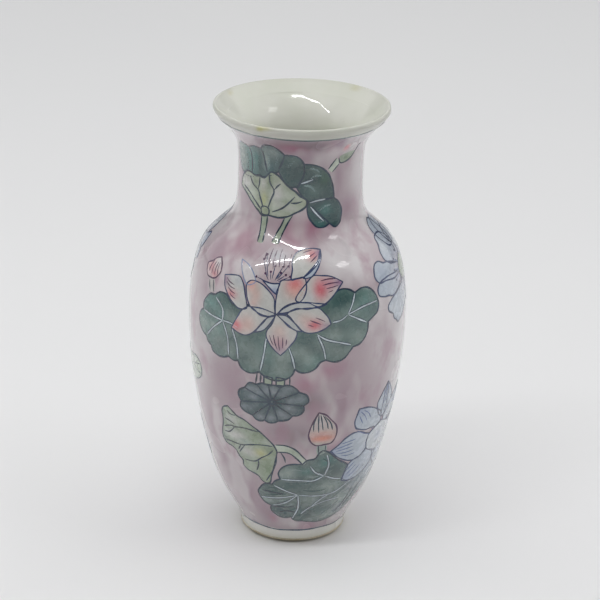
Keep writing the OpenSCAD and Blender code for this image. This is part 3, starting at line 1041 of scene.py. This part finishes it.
def folded_leaf(leaf, lines):
    """Pale young leaf, folded along its ribs, on a short stalk."""
    leaf.field(FOLDED_LEAF, SPRING, FOLD_SPOTS, 0, (-11.5, 73, SPRING_DEEP, 0.3, 11))
    leaf.field(FOLD_STALK, SPRING_PALE, [(0, 71, 5, 2, SPRING_DEEP, 0.5)])
    lines.outline(FOLDED_LEAF, INK_GREEN, 0.85, level=1)
    lines.lines((FOLD_STALK[:5], FOLD_STALK[5:]), INK_GREEN, 0.9, level=1)
    lines.lines(FOLD_LINES, INK_GREEN, 0.8, level=1)


BUD = [
    (13, 96.7, CORNER), (17, 94.8), (20, 91.5), (23.5, 87), (24.3, 82), (23, 77.5), (21.5, 75.8),
    (18, 75.3), (12, 75.3), (9.5, 77.5), (8, 81.5), (8.7, 86.5), (11, 92.5),
]
BUD_SPOTS = [
    (16, 79.5, 8, 2.6, ORANGE, 1.0), (16, 83.2, 8, 1.6, PEACH, 0.6), (14, 92, 3, 4, MILK, 0.4),
    (14, 76.3, 6, 1, CREAM, 0.5),
]
BUD_STRIPES = [
    ((12.3, 96), (10.6, 90), (10.6, 84)), ((13, 95.7), (13.1, 89), (13.6, 83)),
    ((14, 95.5), (15.3, 89), (16, 84.5)), ((15, 95.3), (17.8, 90), (19, 85)),
    ((16, 94.5), (20.2, 89), (21.6, 84)),
]


def bud(stem, petals, lines):
    """Closed lotus bud with a coral foot, on its short stem."""
    stem.field([(14, 75.5), (18.3, 75.5), (18.5, 69), (14.5, 68)], LEAF_PALE)
    petals.field(BUD, BUD_MAUVE, BUD_SPOTS, 1)
    lines.outline(BUD, INK_PLUM, 0.9)
    lines.lines(BUD_STRIPES, INK_GREEN, 0.75, taper=0.2)
    lines.lines(([(14, 75), (14.5, 69)], [(18.3, 75), (18.5, 70.5)]), INK_GREEN, 0.7)


LOW_LEAF = [
    (13, 66), (14.5, 68.7), (17, 71), (20, 70), (22, 68.5), (26, 64.5), (30, 61.5), (34, 59), (36.5, 56.5),
    (35, 52), (34, 48.5), (38, 46), (46, 49), (56, 54), (66, 55), (70, 48), (66, 39), (58, 31), (50, 24),
    (41, 18.5), (32, 16.5), (22, 16), (14, 17), (8, 18), (3, 18.2), (0, 19.8), (-1, 21.5), (-5, 20.7),
    (-11, 21.5), (-14.5, 23.5), (-17, 26.5), (-16.5, 30.5, CORNER), (-20.5, 32), (-23.5, 35.5), (-24.8, 40),
    (-22.5, 43.5), (-19, 46.5), (-14, 47, CORNER), (-12, 49.5), (-8.5, 51.5, CORNER), (-9.5, 55),
    (-8, 58.5), (-4, 61.5), (1, 62.5), (5, 62.5), (8, 65),
]
LOW_SPOTS = [
    (-4, 56, 6, 4, LEAF_PALE, 0.8), (-14, 42, 7, 3, LEAF_DEEP, 0.8), (-8, 26, 8, 4, LEAF_BLUE, 0.9),
    (10, 24, 9, 4, LEAF_DEEP, 0.7), (20, 63, 6, 4, LEAF_TEAL, 0.8), (28, 57, 5, 4, LEAF_DEEP, 0.8),
    (25, 44, 8, 4, LEAF_PALE, 0.8), (36, 32, 8, 6, LEAF_PALE, 0.6), (0, 47, 7, 3, LEAF_DEEP, 0.8),
    (-18, 34.5, 6, 2, LEAF_PALE, 0.8), (12, 36, 7, 4, LEAF_PALE, 0.6), (44, 40, 5, 5, LEAF_LILAC, 0.6),
    (8, 57, 5, 3, LEAF_TEAL, 0.7), (28, 20, 9, 3, LEAF_PALE, 0.8), (-6, 38, 6, 2, LEAF_PALE, 0.6),
    (20, 27, 7, 3, LEAF_DEEP, 0.7), (40, 24, 6, 4, LEAF_LILAC, 0.7), (62, 46, 14, 10, MIST, 0.8),
]
LOW_DEEP_STROKES = [
    ((-20, 38.5), (-12, 39.5), (-3, 41)), ((-12, 25), (-2, 27.5), (6, 31)), ((-6, 49), (2, 48.5), (12, 49)),
    ((22, 21), (30, 26), (37, 32)), ((5, 44), (14, 42.5), (24, 43)), ((17, 66), (21, 63), (24, 59)),
    ((2, 22), (10, 25.5), (18, 29)), ((28, 34), (36, 39), (44, 44)), ((-18, 44), (-12, 44.5), (-6, 44)),
]
LOW_PALE_STROKES = [
    ((-20, 34), (-12, 34.5), (-4, 36)), ((-6, 57), (0, 58.5), (6, 58)), ((10, 33), (18, 35.5), (26, 36.5)),
    ((-10, 29), (-4, 31), (2, 34)), ((22, 46), (28, 46.5), (34, 46.5)),
    ((12, 19.5), (20, 20.5), (28, 22.5)), ((8, 53.5), (14, 53), (20, 54.5)), ((34, 27), (41, 32), (47, 38)),
]
LOW_VEINS = [
    *fan((20, 53), ((13, 50.3), (5, 50.8), (-8, 51.3)), ((14, 56), (10, 61)), ((22, 60), (20, 68)),
         ((27, 50), (33, 48.5))),
    *fan((3.5, 40), ((-5, 43), (-13, 46.5)), ((-10, 37.2), (-23.5, 36)),
         ((20, 38.5), (29, 39), (40, 44), (54, 50)), ((-6, 33.5), (-16, 30.5)), ((4, 30), (0, 20.5))),
    ((14, 30.5), (21, 36), (27, 39)), ((6, 24), (12, 29), (22, 33), (36, 34)),
]
LOW_FOLDS = [
    ((46, 38), (43, 29), (37, 20)), ((-16.5, 30.3), (-8, 30), (2, 31.5)),
    ((-22, 41.5), (-13, 41), (-6, 40.5)), ((56, 42), (50, 33), (44, 25)), ((-12, 25), (-5, 27), (2, 26)),
]


def low_leaf(leaf, lines):
    """Broad double-lobed leaf low on the body."""
    leaf.field(LOW_LEAF, LOW_GREEN, LOW_SPOTS, 0, (8, 42, LEAF_DEEP, 0.7, 7))
    lines.lines(LOW_DEEP_STROKES, LEAF_DEEP, 2.0, level=0, taper=0.1)
    lines.lines(LOW_PALE_STROKES, LOW_PALE, 2.0, level=0, taper=0.1)
    lines.outline(LOW_LEAF, INK_GREEN, 0.95, level=1)
    double_veins(lines, LOW_VEINS)
    lines.lines(LOW_FOLDS, INK_GREEN, 0.9)


# ---------------------------------------------------------------- blue flowers at the sides
# Left halves of the two blue flowers; the right halves mirror them about the flower's own middle
BLUE_LOTUS_MIDDLE = 60
BLUE_LOTUS_HALF = [
    [(53, 89), (52, 93), (55, 98), (60, 104, CORNER), (62, 96), (60, 82), (56, 84)],
    [(37.5, 94.3, CORNER), (43, 93.7), (49, 91.5), (53, 89), (57, 86), (57, 74), (52, 78), (45, 78.5),
     (40, 80.3), (37.5, 81.5), (35.5, 86), (36.5, 91)],
    [(22, 69.8, CORNER), (27, 73.5), (31, 77), (36, 79), (38.5, 79), (46, 76), (57, 71), (50, 66), (45, 61),
     (38, 60), (32, 62), (27, 65)],
    [(36.5, 57.5), (34.5, 52), (33.5, 47, CORNER), (38, 45.5), (48, 46.5), (55, 49), (60, 54), (60, 68),
     (52, 66), (45, 61), (40, 60)],
]
BLUE_LOTUS_STRIPES = [
    ((24, 70.5), (30, 71.5), (37, 72.5)), ((25, 69), (31, 69.5), (38, 70)),
    ((26, 67.5), (32, 67), (39, 67.5)), ((28, 73.5), (33, 74), (39, 74.5)),
    ((29, 65.5), (34, 64.5), (40, 65)), ((38.5, 92.5), (42, 89), (45, 84)),
    ((38, 90), (40, 86.5), (42, 83)), ((41, 92.5), (45, 89.5), (48, 85)), ((36, 50), (40, 53), (44, 56)),
    ((38, 48), (43, 51), (48, 55)), ((35.5, 53), (39, 56), (42, 58.5)), ((57, 100), (58, 95), (58.5, 90)),
    ((59.5, 102), (60, 96), (60, 91)), ((38, 80), (45, 76), (52, 73), (57, 70.5)),
    ((50, 79), (54, 73), (57, 70)),
]
# Small inner petals: a ring of scallops round the middle of the blue lotus
BLUE_LOTUS_HUB = [
    (54, 77, CORNER), (60, 79), (66, 77, CORNER), (71, 74), (72, 69, CORNER), (70, 64), (65, 61.5, CORNER),
    (60, 60), (55, 61.5, CORNER), (50, 64), (48, 69, CORNER), (49, 74),
]
BLUE_BLOOM_MIDDLE = 82
BLUE_BLOOM_HALF = [
    [(71, 182), (69.5, 186), (72, 190), (78, 192), (82, 191), (82, 178), (76, 178)],
    [(60.5, 175), (60.3, 178.5), (64, 182), (66, 184.5), (70, 185.3), (78, 184.5), (82, 182), (82, 170),
     (70, 170.5), (63, 173)],
    [(50, 165.5), (47.5, 168.5), (47.8, 172), (50, 175), (54, 175.7), (58, 174), (62, 173.5), (70, 171),
     (80, 167), (68, 163.5), (56, 165)],
    [(50, 165), (48, 162), (48.5, 159), (52, 157.3), (57, 156.5), (60, 155.3), (65, 156), (72, 159),
     (80, 165), (68, 166), (56, 166.5)],
    [(58, 153), (55.5, 151), (55.5, 148.5), (58.5, 146), (60, 145), (61, 142), (63.5, 140.3), (65.5, 138.3),
     (69, 139), (75, 142), (82, 148), (82, 162), (74, 158), (65, 155.5)],
]
BLUE_BLOOM_SPOTS = [
    (80, 165, 12, 10, ROSE, 0.3), (54, 170, 5, 4, MIST_DEEP, 0.3), (66, 180, 6, 3, MIST_PALE, 0.6),
    (60, 148, 5, 4, MIST_PALE, 0.6),
]
BLUE_BLOOM_HUB = [
    (77, 160), (74, 165), (77, 170), (82, 171.5), (87, 170), (90, 165), (87, 160), (82, 158.5),
]


def blue_lotus(petals, lines):
    """Pale blue lotus low on the side."""
    for _ in both_halves(BLUE_LOTUS_MIDDLE, petals, lines):
        for outline in BLUE_LOTUS_HALF:
            tip = next(p for p in outline if len(p) == 3)
            spots = [(*tip[:2], 7, 6, MIST_DEEP, 0.7), (50, 74, 8, 8, MIST_PALE, 0.7)]
            petals.field(outline, MIST, spots, 1)
            lines.outline(outline, INK, 0.9)
        lines.lines(BLUE_LOTUS_STRIPES, STRIPE_BLUE, 0.6, taper=0.2)
    petals.field(BLUE_LOTUS_HUB, MIST_PALE, [(60, 70, 4, 3, MIST_DEEP, 0.5)], 4)
    lines.outline(BLUE_LOTUS_HUB, INK, 0.8, level=5)


def blue_bloom(petals, lines):
    """Round pale blue flower high on the side."""
    for _ in both_halves(BLUE_BLOOM_MIDDLE, petals, lines):
        for outline in BLUE_BLOOM_HALF:
            petals.field(outline, MIST, BLUE_BLOOM_SPOTS, 1)
            lines.outline(outline, INK, 0.9)
        for number in range(7):
            turn = math.radians(200 - 33 * number)
            end = (80 + 13 * math.cos(turn), 165 + 10 * math.sin(turn))
            lines.line([(80, 165), end], MIST_DEEP, 0.6, taper=0.2)
            lines.dot(*end, 0.7, INK)
    petals.field(BLUE_BLOOM_HUB, SPRING, [(82, 165, 5, 4, SPRING_DEEP, 0.7)], 4)
    lines.outline(BLUE_BLOOM_HUB, INK_GREEN, 0.8, level=5)


# ---------------------------------------------------------------- the neck
NECK_LEAF = [
    (-70, 234), (-60, 237.5), (-50, 236.5, CORNER), (-42, 238.5), (-35, 238, CORNER), (-30, 241),
    (-24, 241.5), (-18, 239), (-14, 236, CORNER), (-10, 236.2), (-4, 235.8), (0, 234), (3, 231, CORNER),
    (9, 230.9), (16, 229.7), (21, 227.8), (26, 224.5), (30, 218.5), (32, 211, CORNER), (36.5, 208.5),
    (40, 204), (39.5, 200), (37, 196.5), (32, 195), (27, 197.2, CORNER), (21, 195.5), (15, 196),
    (11, 198.5), (8, 201.5), (6.5, 206), (7.5, 210, CORNER), (2, 213), (-1, 215.5, CORNER), (-4, 218),
    (-9, 217.5), (-13, 219), (-17, 223), (-20, 226, CORNER), (-24, 224), (-32, 222), (-46, 220), (-58, 219),
    (-68, 222),
]
NECK_LEAF_SPOTS = [
    (-52, 228, 13, 11, NECK_TEAL, 0.8), (10, 222, 17, 12, LEAF_NIGHT, 0.7),
    (28, 203, 14, 9, LEAF_NIGHT, 0.7), (-64, 230, 10, 9, LEAF_PALE, 0.9), (-50, 226, 4, 7, LEAF_TEAL, 0.9),
    (-54, 234, 4, 4, LEAF_TEAL, 0.8), (-43, 231, 3, 6, LEAF_TEAL, 0.9), (-37, 226, 3, 5, LEAF_DEEP, 0.9),
    (-32, 231, 3, 5, LEAF_PALE, 0.9), (-24, 237, 6, 4, LEAF_PALE, 0.55), (-26, 227, 4, 4, NECK_BLUE, 0.7),
    (-6, 233, 6, 2.5, LEAF, 0.8), (-12, 225, 5, 6, LEAF_DEEP, 0.9), (-3, 224, 5, 5, LEAF_DEEP, 0.9),
    (5, 227, 4, 4, LEAF_DEEP, 0.9), (14, 227, 7, 2.5, LEAF, 0.7), (22, 222, 5, 4, NECK_MOSS, 0.8),
    (27, 214, 4, 4, LEAF_DEEP, 0.8), (13, 216, 7, 4, LEAF, 0.9), (35, 205, 5, 4, LEAF_DEEP, 0.9),
    (12, 203, 4, 4, LEAF_DEEP, 0.8), (24, 205, 6, 3, LEAF_TEAL, 0.8), (30, 198, 5, 2, LEAF_DEEP, 0.9),
    (18, 197.5, 5, 2, LEAF_TEAL, 0.6),
]
NECK_LEAF_LINES = [
    ((-50, 236.5), (-48.5, 229), (-49, 221)), ((-35, 238), (-33, 230), (-31, 224)),
    ((-14, 236), (-16, 232), (-20, 227)), ((3, 231), (3.2, 226), (0, 221), (-3, 217)),
    ((32, 211), (20, 210.6), (7.5, 210)), ((27, 197.2), (19, 202), (9, 208)),
]
# Single broad strokes of thinner or thicker enamel inside the lobes
NECK_PALE_STROKES = [
    ((-64, 225), (-62, 231), (-58, 235)), ((-45, 223), (-46, 230), (-45, 235)),
    ((-29, 226), (-29, 232), (-27, 238)), ((-23, 228), (-21, 233), (-19, 236.5)),
    ((-12, 228), (-8, 231.5), (-4, 233.5)), ((2, 219), (9, 218.5), (14, 215)),
    ((6, 228.5), (12, 228.3), (18, 226)), ((17, 204.5), (24, 207), (30, 207.5)),
    ((14, 198), (20, 198.5), (23, 201)), ((8, 222.5), (14, 224.5), (20, 224)),
]
NECK_DEEP_STROKES = [
    ((-55, 222), (-54, 229), (-55, 234)), ((-39, 224), (-40, 230), (-38, 236)),
    ((-17, 224), (-14, 229), (-11, 234)), ((-8, 220), (-6, 225), (-3, 230)), ((3, 223), (5, 226), (4, 229)),
    ((26, 212.5), (27, 216), (25, 221)), ((34, 199), (37, 203), (35, 208)),
    ((10, 205), (14, 201), (18, 200)),
]
NECK_FAN = [
    (-66, 214.5), (-62, 219), (-56, 221.7), (-50, 221.7), (-46, 221), (-40, 221.5), (-34, 221),
    (-30, 223.5), (-27, 225), (-21, 224), (-17, 222), (-13, 219.5), (-8, 217), (-4, 215.5), (0, 213),
    (6, 210.5), (6, 208), (2, 205.5), (-4, 203.5), (-10, 201.5), (-18, 200.3), (-28, 200.5), (-36, 200),
    (-38, 201), (-43, 203), (-50, 206), (-57, 209), (-63, 210.8), (-67, 212),
]
FAN_RIBS = [
    ((-52, 220), (-47, 215.5), (-41, 213.3), (-38, 209), (-34, 203.5)),
    ((-39, 221), (-39.5, 217), (-41, 213.3)),
    ((-29, 224), (-28, 219), (-24, 215), (-27, 209), (-30, 203.5)), ((-24, 215), (-20, 218), (-17, 219.5)),
    ((-4, 213), (-9, 209.5), (-15, 206), (-26, 202.5)), ((-9, 209), (-4, 209), (3, 210.3)),
    ((-62, 213), (-54, 211), (-44, 206.5), (-36, 202.5)),
]
FAN_SPOTS = [
    (-58, 215, 7, 4, CREAM, 0.9), (-48, 211, 5, 4, SPRING_PALE, 0.8), (-44, 218, 4, 3, SPRING_DEEP, 0.5),
    (-35, 217, 3, 5, CREAM, 0.8), (-34, 209, 3, 5, FAN_OLIVE, 0.8), (-27, 219, 3, 3, SPRING_DEEP, 0.7),
    (-20, 212, 6, 6, CREAM, 1.0), (-52, 217, 5, 3, CREAM, 0.6), (-23, 206, 4, 3, SPRING_PALE, 0.6),
    (-10, 213, 5, 2.5, SPRING_PALE, 0.7), (-8, 206, 8, 2, CREAM, 0.6),
    (-14, 209.5, 6, 1.5, SPRING_DEEP, 0.6), (-31, 203, 4, 2, SPRING_DEEP, 0.6),
]
NECK_STEMS = [
    [(-35.5, 200.5), (-35, 196), (-33, 190), (-32, 187), (-28, 187), (-29, 192), (-29.5, 200.5)],
    [(-12.5, 201.5), (-16, 196), (-19, 192), (-21, 188), (-16, 187.5), (-14, 192), (-10, 198), (-6, 202.3)],
]
NECK_VEINS = [
    ((0, 220), (5, 221), (12, 222.5)), ((8, 209.2), (14, 210.2), (24, 211)),
    ((9, 207.5), (15, 203), (22, 198.5)),
]


def neck_leaf(leaf, lines):
    """Dark lobed leaf round the neck, with its pale underside fanned out below."""
    for stem in NECK_STEMS:
        leaf.field(stem, SPRING)
        lines.lines((stem[:4], stem[4:]), INK_GREEN, 0.8, level=1)
    leaf.field(NECK_LEAF, NECK_GREEN, NECK_LEAF_SPOTS, 0, (-5, 212, LEAF_DEEP, 0.5, 12))
    lines.lines(NECK_PALE_STROKES, NECK_PALE, 2.5, level=0, taper=0.1)
    lines.lines(NECK_DEEP_STROKES, LEAF_DEEP, 2.6, level=0, taper=0.1)
    lines.outline(NECK_LEAF, INK_GREEN, 0.9, level=1)
    lines.lines(NECK_LEAF_LINES, INK_GREEN, 1.0, level=1, taper=0.6)
    leaf.field(NECK_FAN, FAN_GREEN, FAN_SPOTS, 1, (-32, 203.5, SPRING_DEEP, 0.5, 9))
    lines.outline(NECK_FAN, INK_GREEN, 1.0)
    lines.lines(FAN_RIBS, INK_GREEN, 0.9)
    lines.outline([(-36, 204.5), (-29, 204.5), (-28.5, 201), (-35.5, 200.8)], INK_GREEN, 0.8)
    double_veins(lines, NECK_VEINS)


NECK_BUD_STEM = [(25, 227.5), (29, 230.6), (33, 233.5), (36, 229.8), (32, 227.4), (29, 225.5)]
NECK_BUD_CUP = [(35, 233.5), (36.5, 230.5), (45, 230.6), (51, 232.8), (54, 235), (49, 236), (41, 235.5)]
NECK_BUD = [
    (37, 235.5), (36, 239), (39, 241.6), (44, 242.3), (49, 240.8), (52, 237.5), (50, 235.5), (43, 235),
]
NECK_BUD_SPOTS = [(39.5, 239.5, 3, 1.8, CORAL, 0.95), (46, 240, 4, 2, MILK, 0.6)]


def neck_bud(stem, petals, lines):
    """Small faint bud under the lip, on a bent stem."""
    stem.field(NECK_BUD_STEM, SPRING_PALE)
    petals.field(NECK_BUD, BUD_PINK, NECK_BUD_SPOTS)
    stem.field(NECK_BUD_CUP, SPRING, [(44, 232.5, 5, 1.5, SPRING_DEEP, 0.9)], 0.4)
    lines.lines((NECK_BUD_STEM[:3], NECK_BUD_STEM[3:]), INK_GREEN, 0.8)
    lines.line(NECK_BUD_CUP[:4] + [(54, 236), (56, 240)], INK_GREEN, 0.9)


# ---------------------------------------------------------------- small motifs at the left
SIDE_BUD = [
    (-58.5, 165), (-61, 168), (-61.5, 171), (-58, 173), (-55, 175.5), (-52, 176.5, CORNER), (-49, 173),
    (-48.3, 170), (-50, 167), (-52, 165.5), (-56, 164.8),
]
SIDE_BUD_SPOTS = [
    (-57, 171, 3, 2.5, CORAL, 0.5), (-53, 167.5, 3, 2, CORAL, 0.5), (-52, 174, 3, 2.5, MILK, 0.9),
]
PALE_LEAF = [
    (-75, 112), (-67, 113.8), (-62.5, 112), (-60.8, 108.5), (-62, 104), (-66, 100.5), (-75, 97.5),
    (-86, 96), (-95, 99), (-101, 104), (-99, 110), (-90, 112.5),
]
PALE_LEAF_RIBS = fan((-79, 105), ((-62, 111),), ((-61.5, 105),), ((-70, 99.5),), ((-84, 96.5),),
                     ((-97, 100.5),), ((-100, 107),), ((-88, 112),))


def side_bud(stem, petals, lines):
    """Small striped bud beside the wide leaf."""
    stem.field([(-56, 165), (-52.5, 165.5), (-50.5, 158), (-53.5, 157.5)], STEM_MAUVE)
    petals.field(SIDE_BUD, BUD_ROSE, SIDE_BUD_SPOTS, 1)
    lines.outline(SIDE_BUD, INK_PLUM, 0.8)
    for foot, tip in ((-58.5, -56), (-55.5, -54), (-52.5, -52.3), (-50, -51)):
        stripe = [(foot, 166.5), ((foot + tip) / 2 - 0.6, 170.5), (tip, 174.5)]
        lines.line(stripe, INK_PLUM, 0.55, taper=0.2)
    stem_sides = ([(-56, 164), (-55, 161), (-53.5, 158)], [(-52.5, 165), (-51.5, 161.5), (-50.5, 158)])
    lines.lines(stem_sides, INK_GREEN, 0.7)


def pale_leaf(leaf, lines):
    """Faint pale leaf at the far left."""
    leaf.field(PALE_LEAF, SPRING_PALE, [(-80, 104, 12, 6, SPRING, 0.7), (-64, 108, 4, 4, SPRING_DEEP, 0.3)])
    lines.outline(PALE_LEAF, LEAF_BLUE, 0.9, level=1)
    lines.lines(PALE_LEAF_RIBS, LEAF_BLUE, 0.7, level=1, taper=0.3)


# ---------------------------------------------------------------- rings of colour at foot and lip
def ring_line(name, height, width, colour, drift):
    """A painted ring all the way round, slightly uneven as the brush met the turning vase."""
    angles = np.arange(SEGMENTS) * 360 / SEGMENTS
    turn = np.radians(angles)
    height = height + drift * (np.sin(5 * turn) + 0.6 * np.sin(11 * turn + 2))
    half = width / 2 * (1 + 0.15 * np.sin(7 * turn + 1) + 0.1 * np.sin(23 * turn))
    edge = ENAMEL_HEIGHT - EDGE_DROP
    section = ((-1, BURIED), (-1, edge), (-0.4, ENAMEL_HEIGHT), (0.4, ENAMEL_HEIGHT), (1, edge), (1, BURIED))
    points = np.vstack([on_glaze(angles, height + side * half, lift) for side, lift in section])
    faces = net_faces(6, SEGMENTS, 6, SEGMENTS, flipped=True)
    new_piece(name, points, faces, LINE_ENAMEL, plain(colour, len(points)))


ring_line("foot_line", BAND_TOP, 1.1, RING_BLUE, 0.25)
ring_line("lip_line", LIP_SEAM - 0.45, 1.2, RING_GREEN, 0)

# The pieces of each kind of motif: the ending of the name, and the enamel
LOTUS_PARTS = (("_leaf", LEAF_ENAMEL), ("_petals", PETAL_ENAMEL), ("_lines", LINE_ENAMEL))
BUD_PARTS = (("_stem", LEAF_ENAMEL), ("", PETAL_ENAMEL), ("_lines", LINE_ENAMEL))
LEAF_PARTS = (("", LEAF_ENAMEL), ("_lines", LINE_ENAMEL))
BLUE_PARTS = (("", BLUE_ENAMEL), ("_lines", LINE_ENAMEL))


def paint(motif, parts, place, tag):
    """Paints a motif at its place, and makes its pieces, named after the tag and the motif."""
    paintings = [Painting(place, enamel) for _, enamel in parts]
    motif(*paintings)
    for painting, (ending, _) in zip(paintings, parts):
        painting.build(tag + "_" + motif.__name__ + ending)


for side, tag in ((same_place, "front"), (behind, "back")):
    paint(lotus, LOTUS_PARTS, side, tag)
    paint(round_leaf, LEAF_PARTS, side, tag)
    paint(folded_leaf, LEAF_PARTS, side, tag)
    paint(bud, BUD_PARTS, side, tag)
    paint(low_leaf, LEAF_PARTS, side, tag)
    paint(neck_leaf, LEAF_PARTS, side, tag)
    paint(neck_bud, BUD_PARTS, side, tag)
    paint(side_bud, BUD_PARTS, side, tag)
paint(blue_lotus, BLUE_PARTS, same_place, "right")
paint(blue_bloom, BLUE_PARTS, same_place, "right")
paint(pale_leaf, LEAF_PARTS, same_place, "left")
paint(blue_lotus, BLUE_PARTS, left_low, "left")
paint(blue_bloom, BLUE_PARTS, left_high, "left")


# ---------------------------------------------------------------- stage, light and camera
TABLE_SIZE = 12.0  # half its width, in metres


def stage_floor():
    """Plain pale table."""
    mesh = bpy.data.meshes.new("table")
    corners = [(x * TABLE_SIZE, y * TABLE_SIZE, 0) for x, y in ((-1, -1), (1, -1), (1, 1), (-1, 1))]
    mesh.from_pydata(corners, [], [(0, 1, 2, 3)])
    look = Look("table_paper")
    colour = look.blended("MIX", look.noise(3.0), PAPER_COOL, PAPER)
    look.link(colour, look.shader.inputs["Base Color"])
    look.shader.inputs["Roughness"].default_value = 0.6
    mesh.materials.append(look.material)
    table = new_object("table", mesh)


def set_pose(item, right, up, back, place):
    """Stands a light or a camera at a place, facing away from back."""
    turn = Matrix((right, up, back)).transposed().to_4x4()
    turn.translation = place
    item.matrix_world = turn


def area_light(name, place, side, up, size, power):
    """A rectangle light that shines against side x up and stays out of the pictures."""
    data = bpy.data.lights.new(name, "AREA")
    data.shape = "RECTANGLE"
    data.size, data.size_y = size
    data.energy = power
    light = new_object(name, data)
    set_pose(light, side, up, np.cross(side, up), place)
    light.visible_camera = False
    return light


def soft_light(name, place, towards, size, power):
    """A soft panel turned towards a point."""
    back = np.array(place, float) - np.array(towards)
    back = back / np.linalg.norm(back)
    side = np.cross((0, 0, 1), back)
    side = side / np.linalg.norm(side)
    area_light(name, place, side, np.cross(back, side), size, power)


def tube_light(name, start, end, width, power):
    """A level tube between two points, shining down."""
    start, end = np.array(start), np.array(end)
    length = float(np.linalg.norm(end - start))
    side = (end - start) / length
    area_light(name, (start + end) / 2, side, np.cross((0, 0, 1), side), (length, width), power)


def studio():
    """Soft light from above, behind and both sides; one long tube and a small lamp make the streaks."""
    world = bpy.data.worlds.new("studio")
    world.use_nodes = True
    background = world.node_tree.nodes["Background"]
    background.inputs["Color"].default_value = (*DAYLIGHT, 1)
    background.inputs["Strength"].default_value = 0.12
    bpy.context.scene.world = world
    ceiling = area_light("ceiling", (0, 0, 3.2), (1, 0, 0), (0, 1, 0), (10, 10), 122)
    ceiling.visible_glossy = False
    soft_light("top_soft", (0, 0.45, 2.1), (0, 0.3, 0), (3.0, 2.2), 14)
    soft_light("left_soft", (-3.8, 0.8, 2.0), (0, 0, 0.4), (5.2, 3.8), 40)
    soft_light("right_soft", (3.8, 0.8, 2.0), (0, 0, 0.4), (5.2, 3.8), 54)
    soft_light("back_soft", (0, 5.6, 1.8), (0, 0, 0.4), (5.2, 2.8), 20)
    soft_light("small_lamp", (0.95, -0.40, 1.25), (0, 0, 0.18), (0.30, 0.22), 0.9)
    tube_light("ceiling_tube", (-1.25, -0.68, 1.48), (0.23, -0.41, 1.48), 0.04, 7)


def camera():
    """The camera in front of the vase, pitched down, and slightly rolled and turned."""
    data = bpy.data.cameras.new("camera")
    data.lens = CAMERA_LENS
    data.sensor_width = CAMERA_SENSOR
    data.clip_end = 50
    view = new_object("camera", data)
    ahead = np.array((math.sin(CAMERA_HEADING), math.cos(CAMERA_HEADING), 0))
    side = np.array((math.cos(CAMERA_HEADING), -math.sin(CAMERA_HEADING), 0))
    forward = math.cos(CAMERA_PITCH) * ahead - math.sin(CAMERA_PITCH) * np.array((0, 0, 1))
    above = math.sin(CAMERA_PITCH) * ahead + math.cos(CAMERA_PITCH) * np.array((0, 0, 1))
    right = math.cos(CAMERA_ROLL) * side + math.sin(CAMERA_ROLL) * above
    up = -math.sin(CAMERA_ROLL) * side + math.cos(CAMERA_ROLL) * above
    set_pose(view, right, up, -forward, (0, -CAMERA_DISTANCE, CAMERA_HEIGHT))
    bpy.context.scene.camera = view


stage_floor()
studio()
camera()
bpy.context.scene.view_settings.view_transform = "Standard"
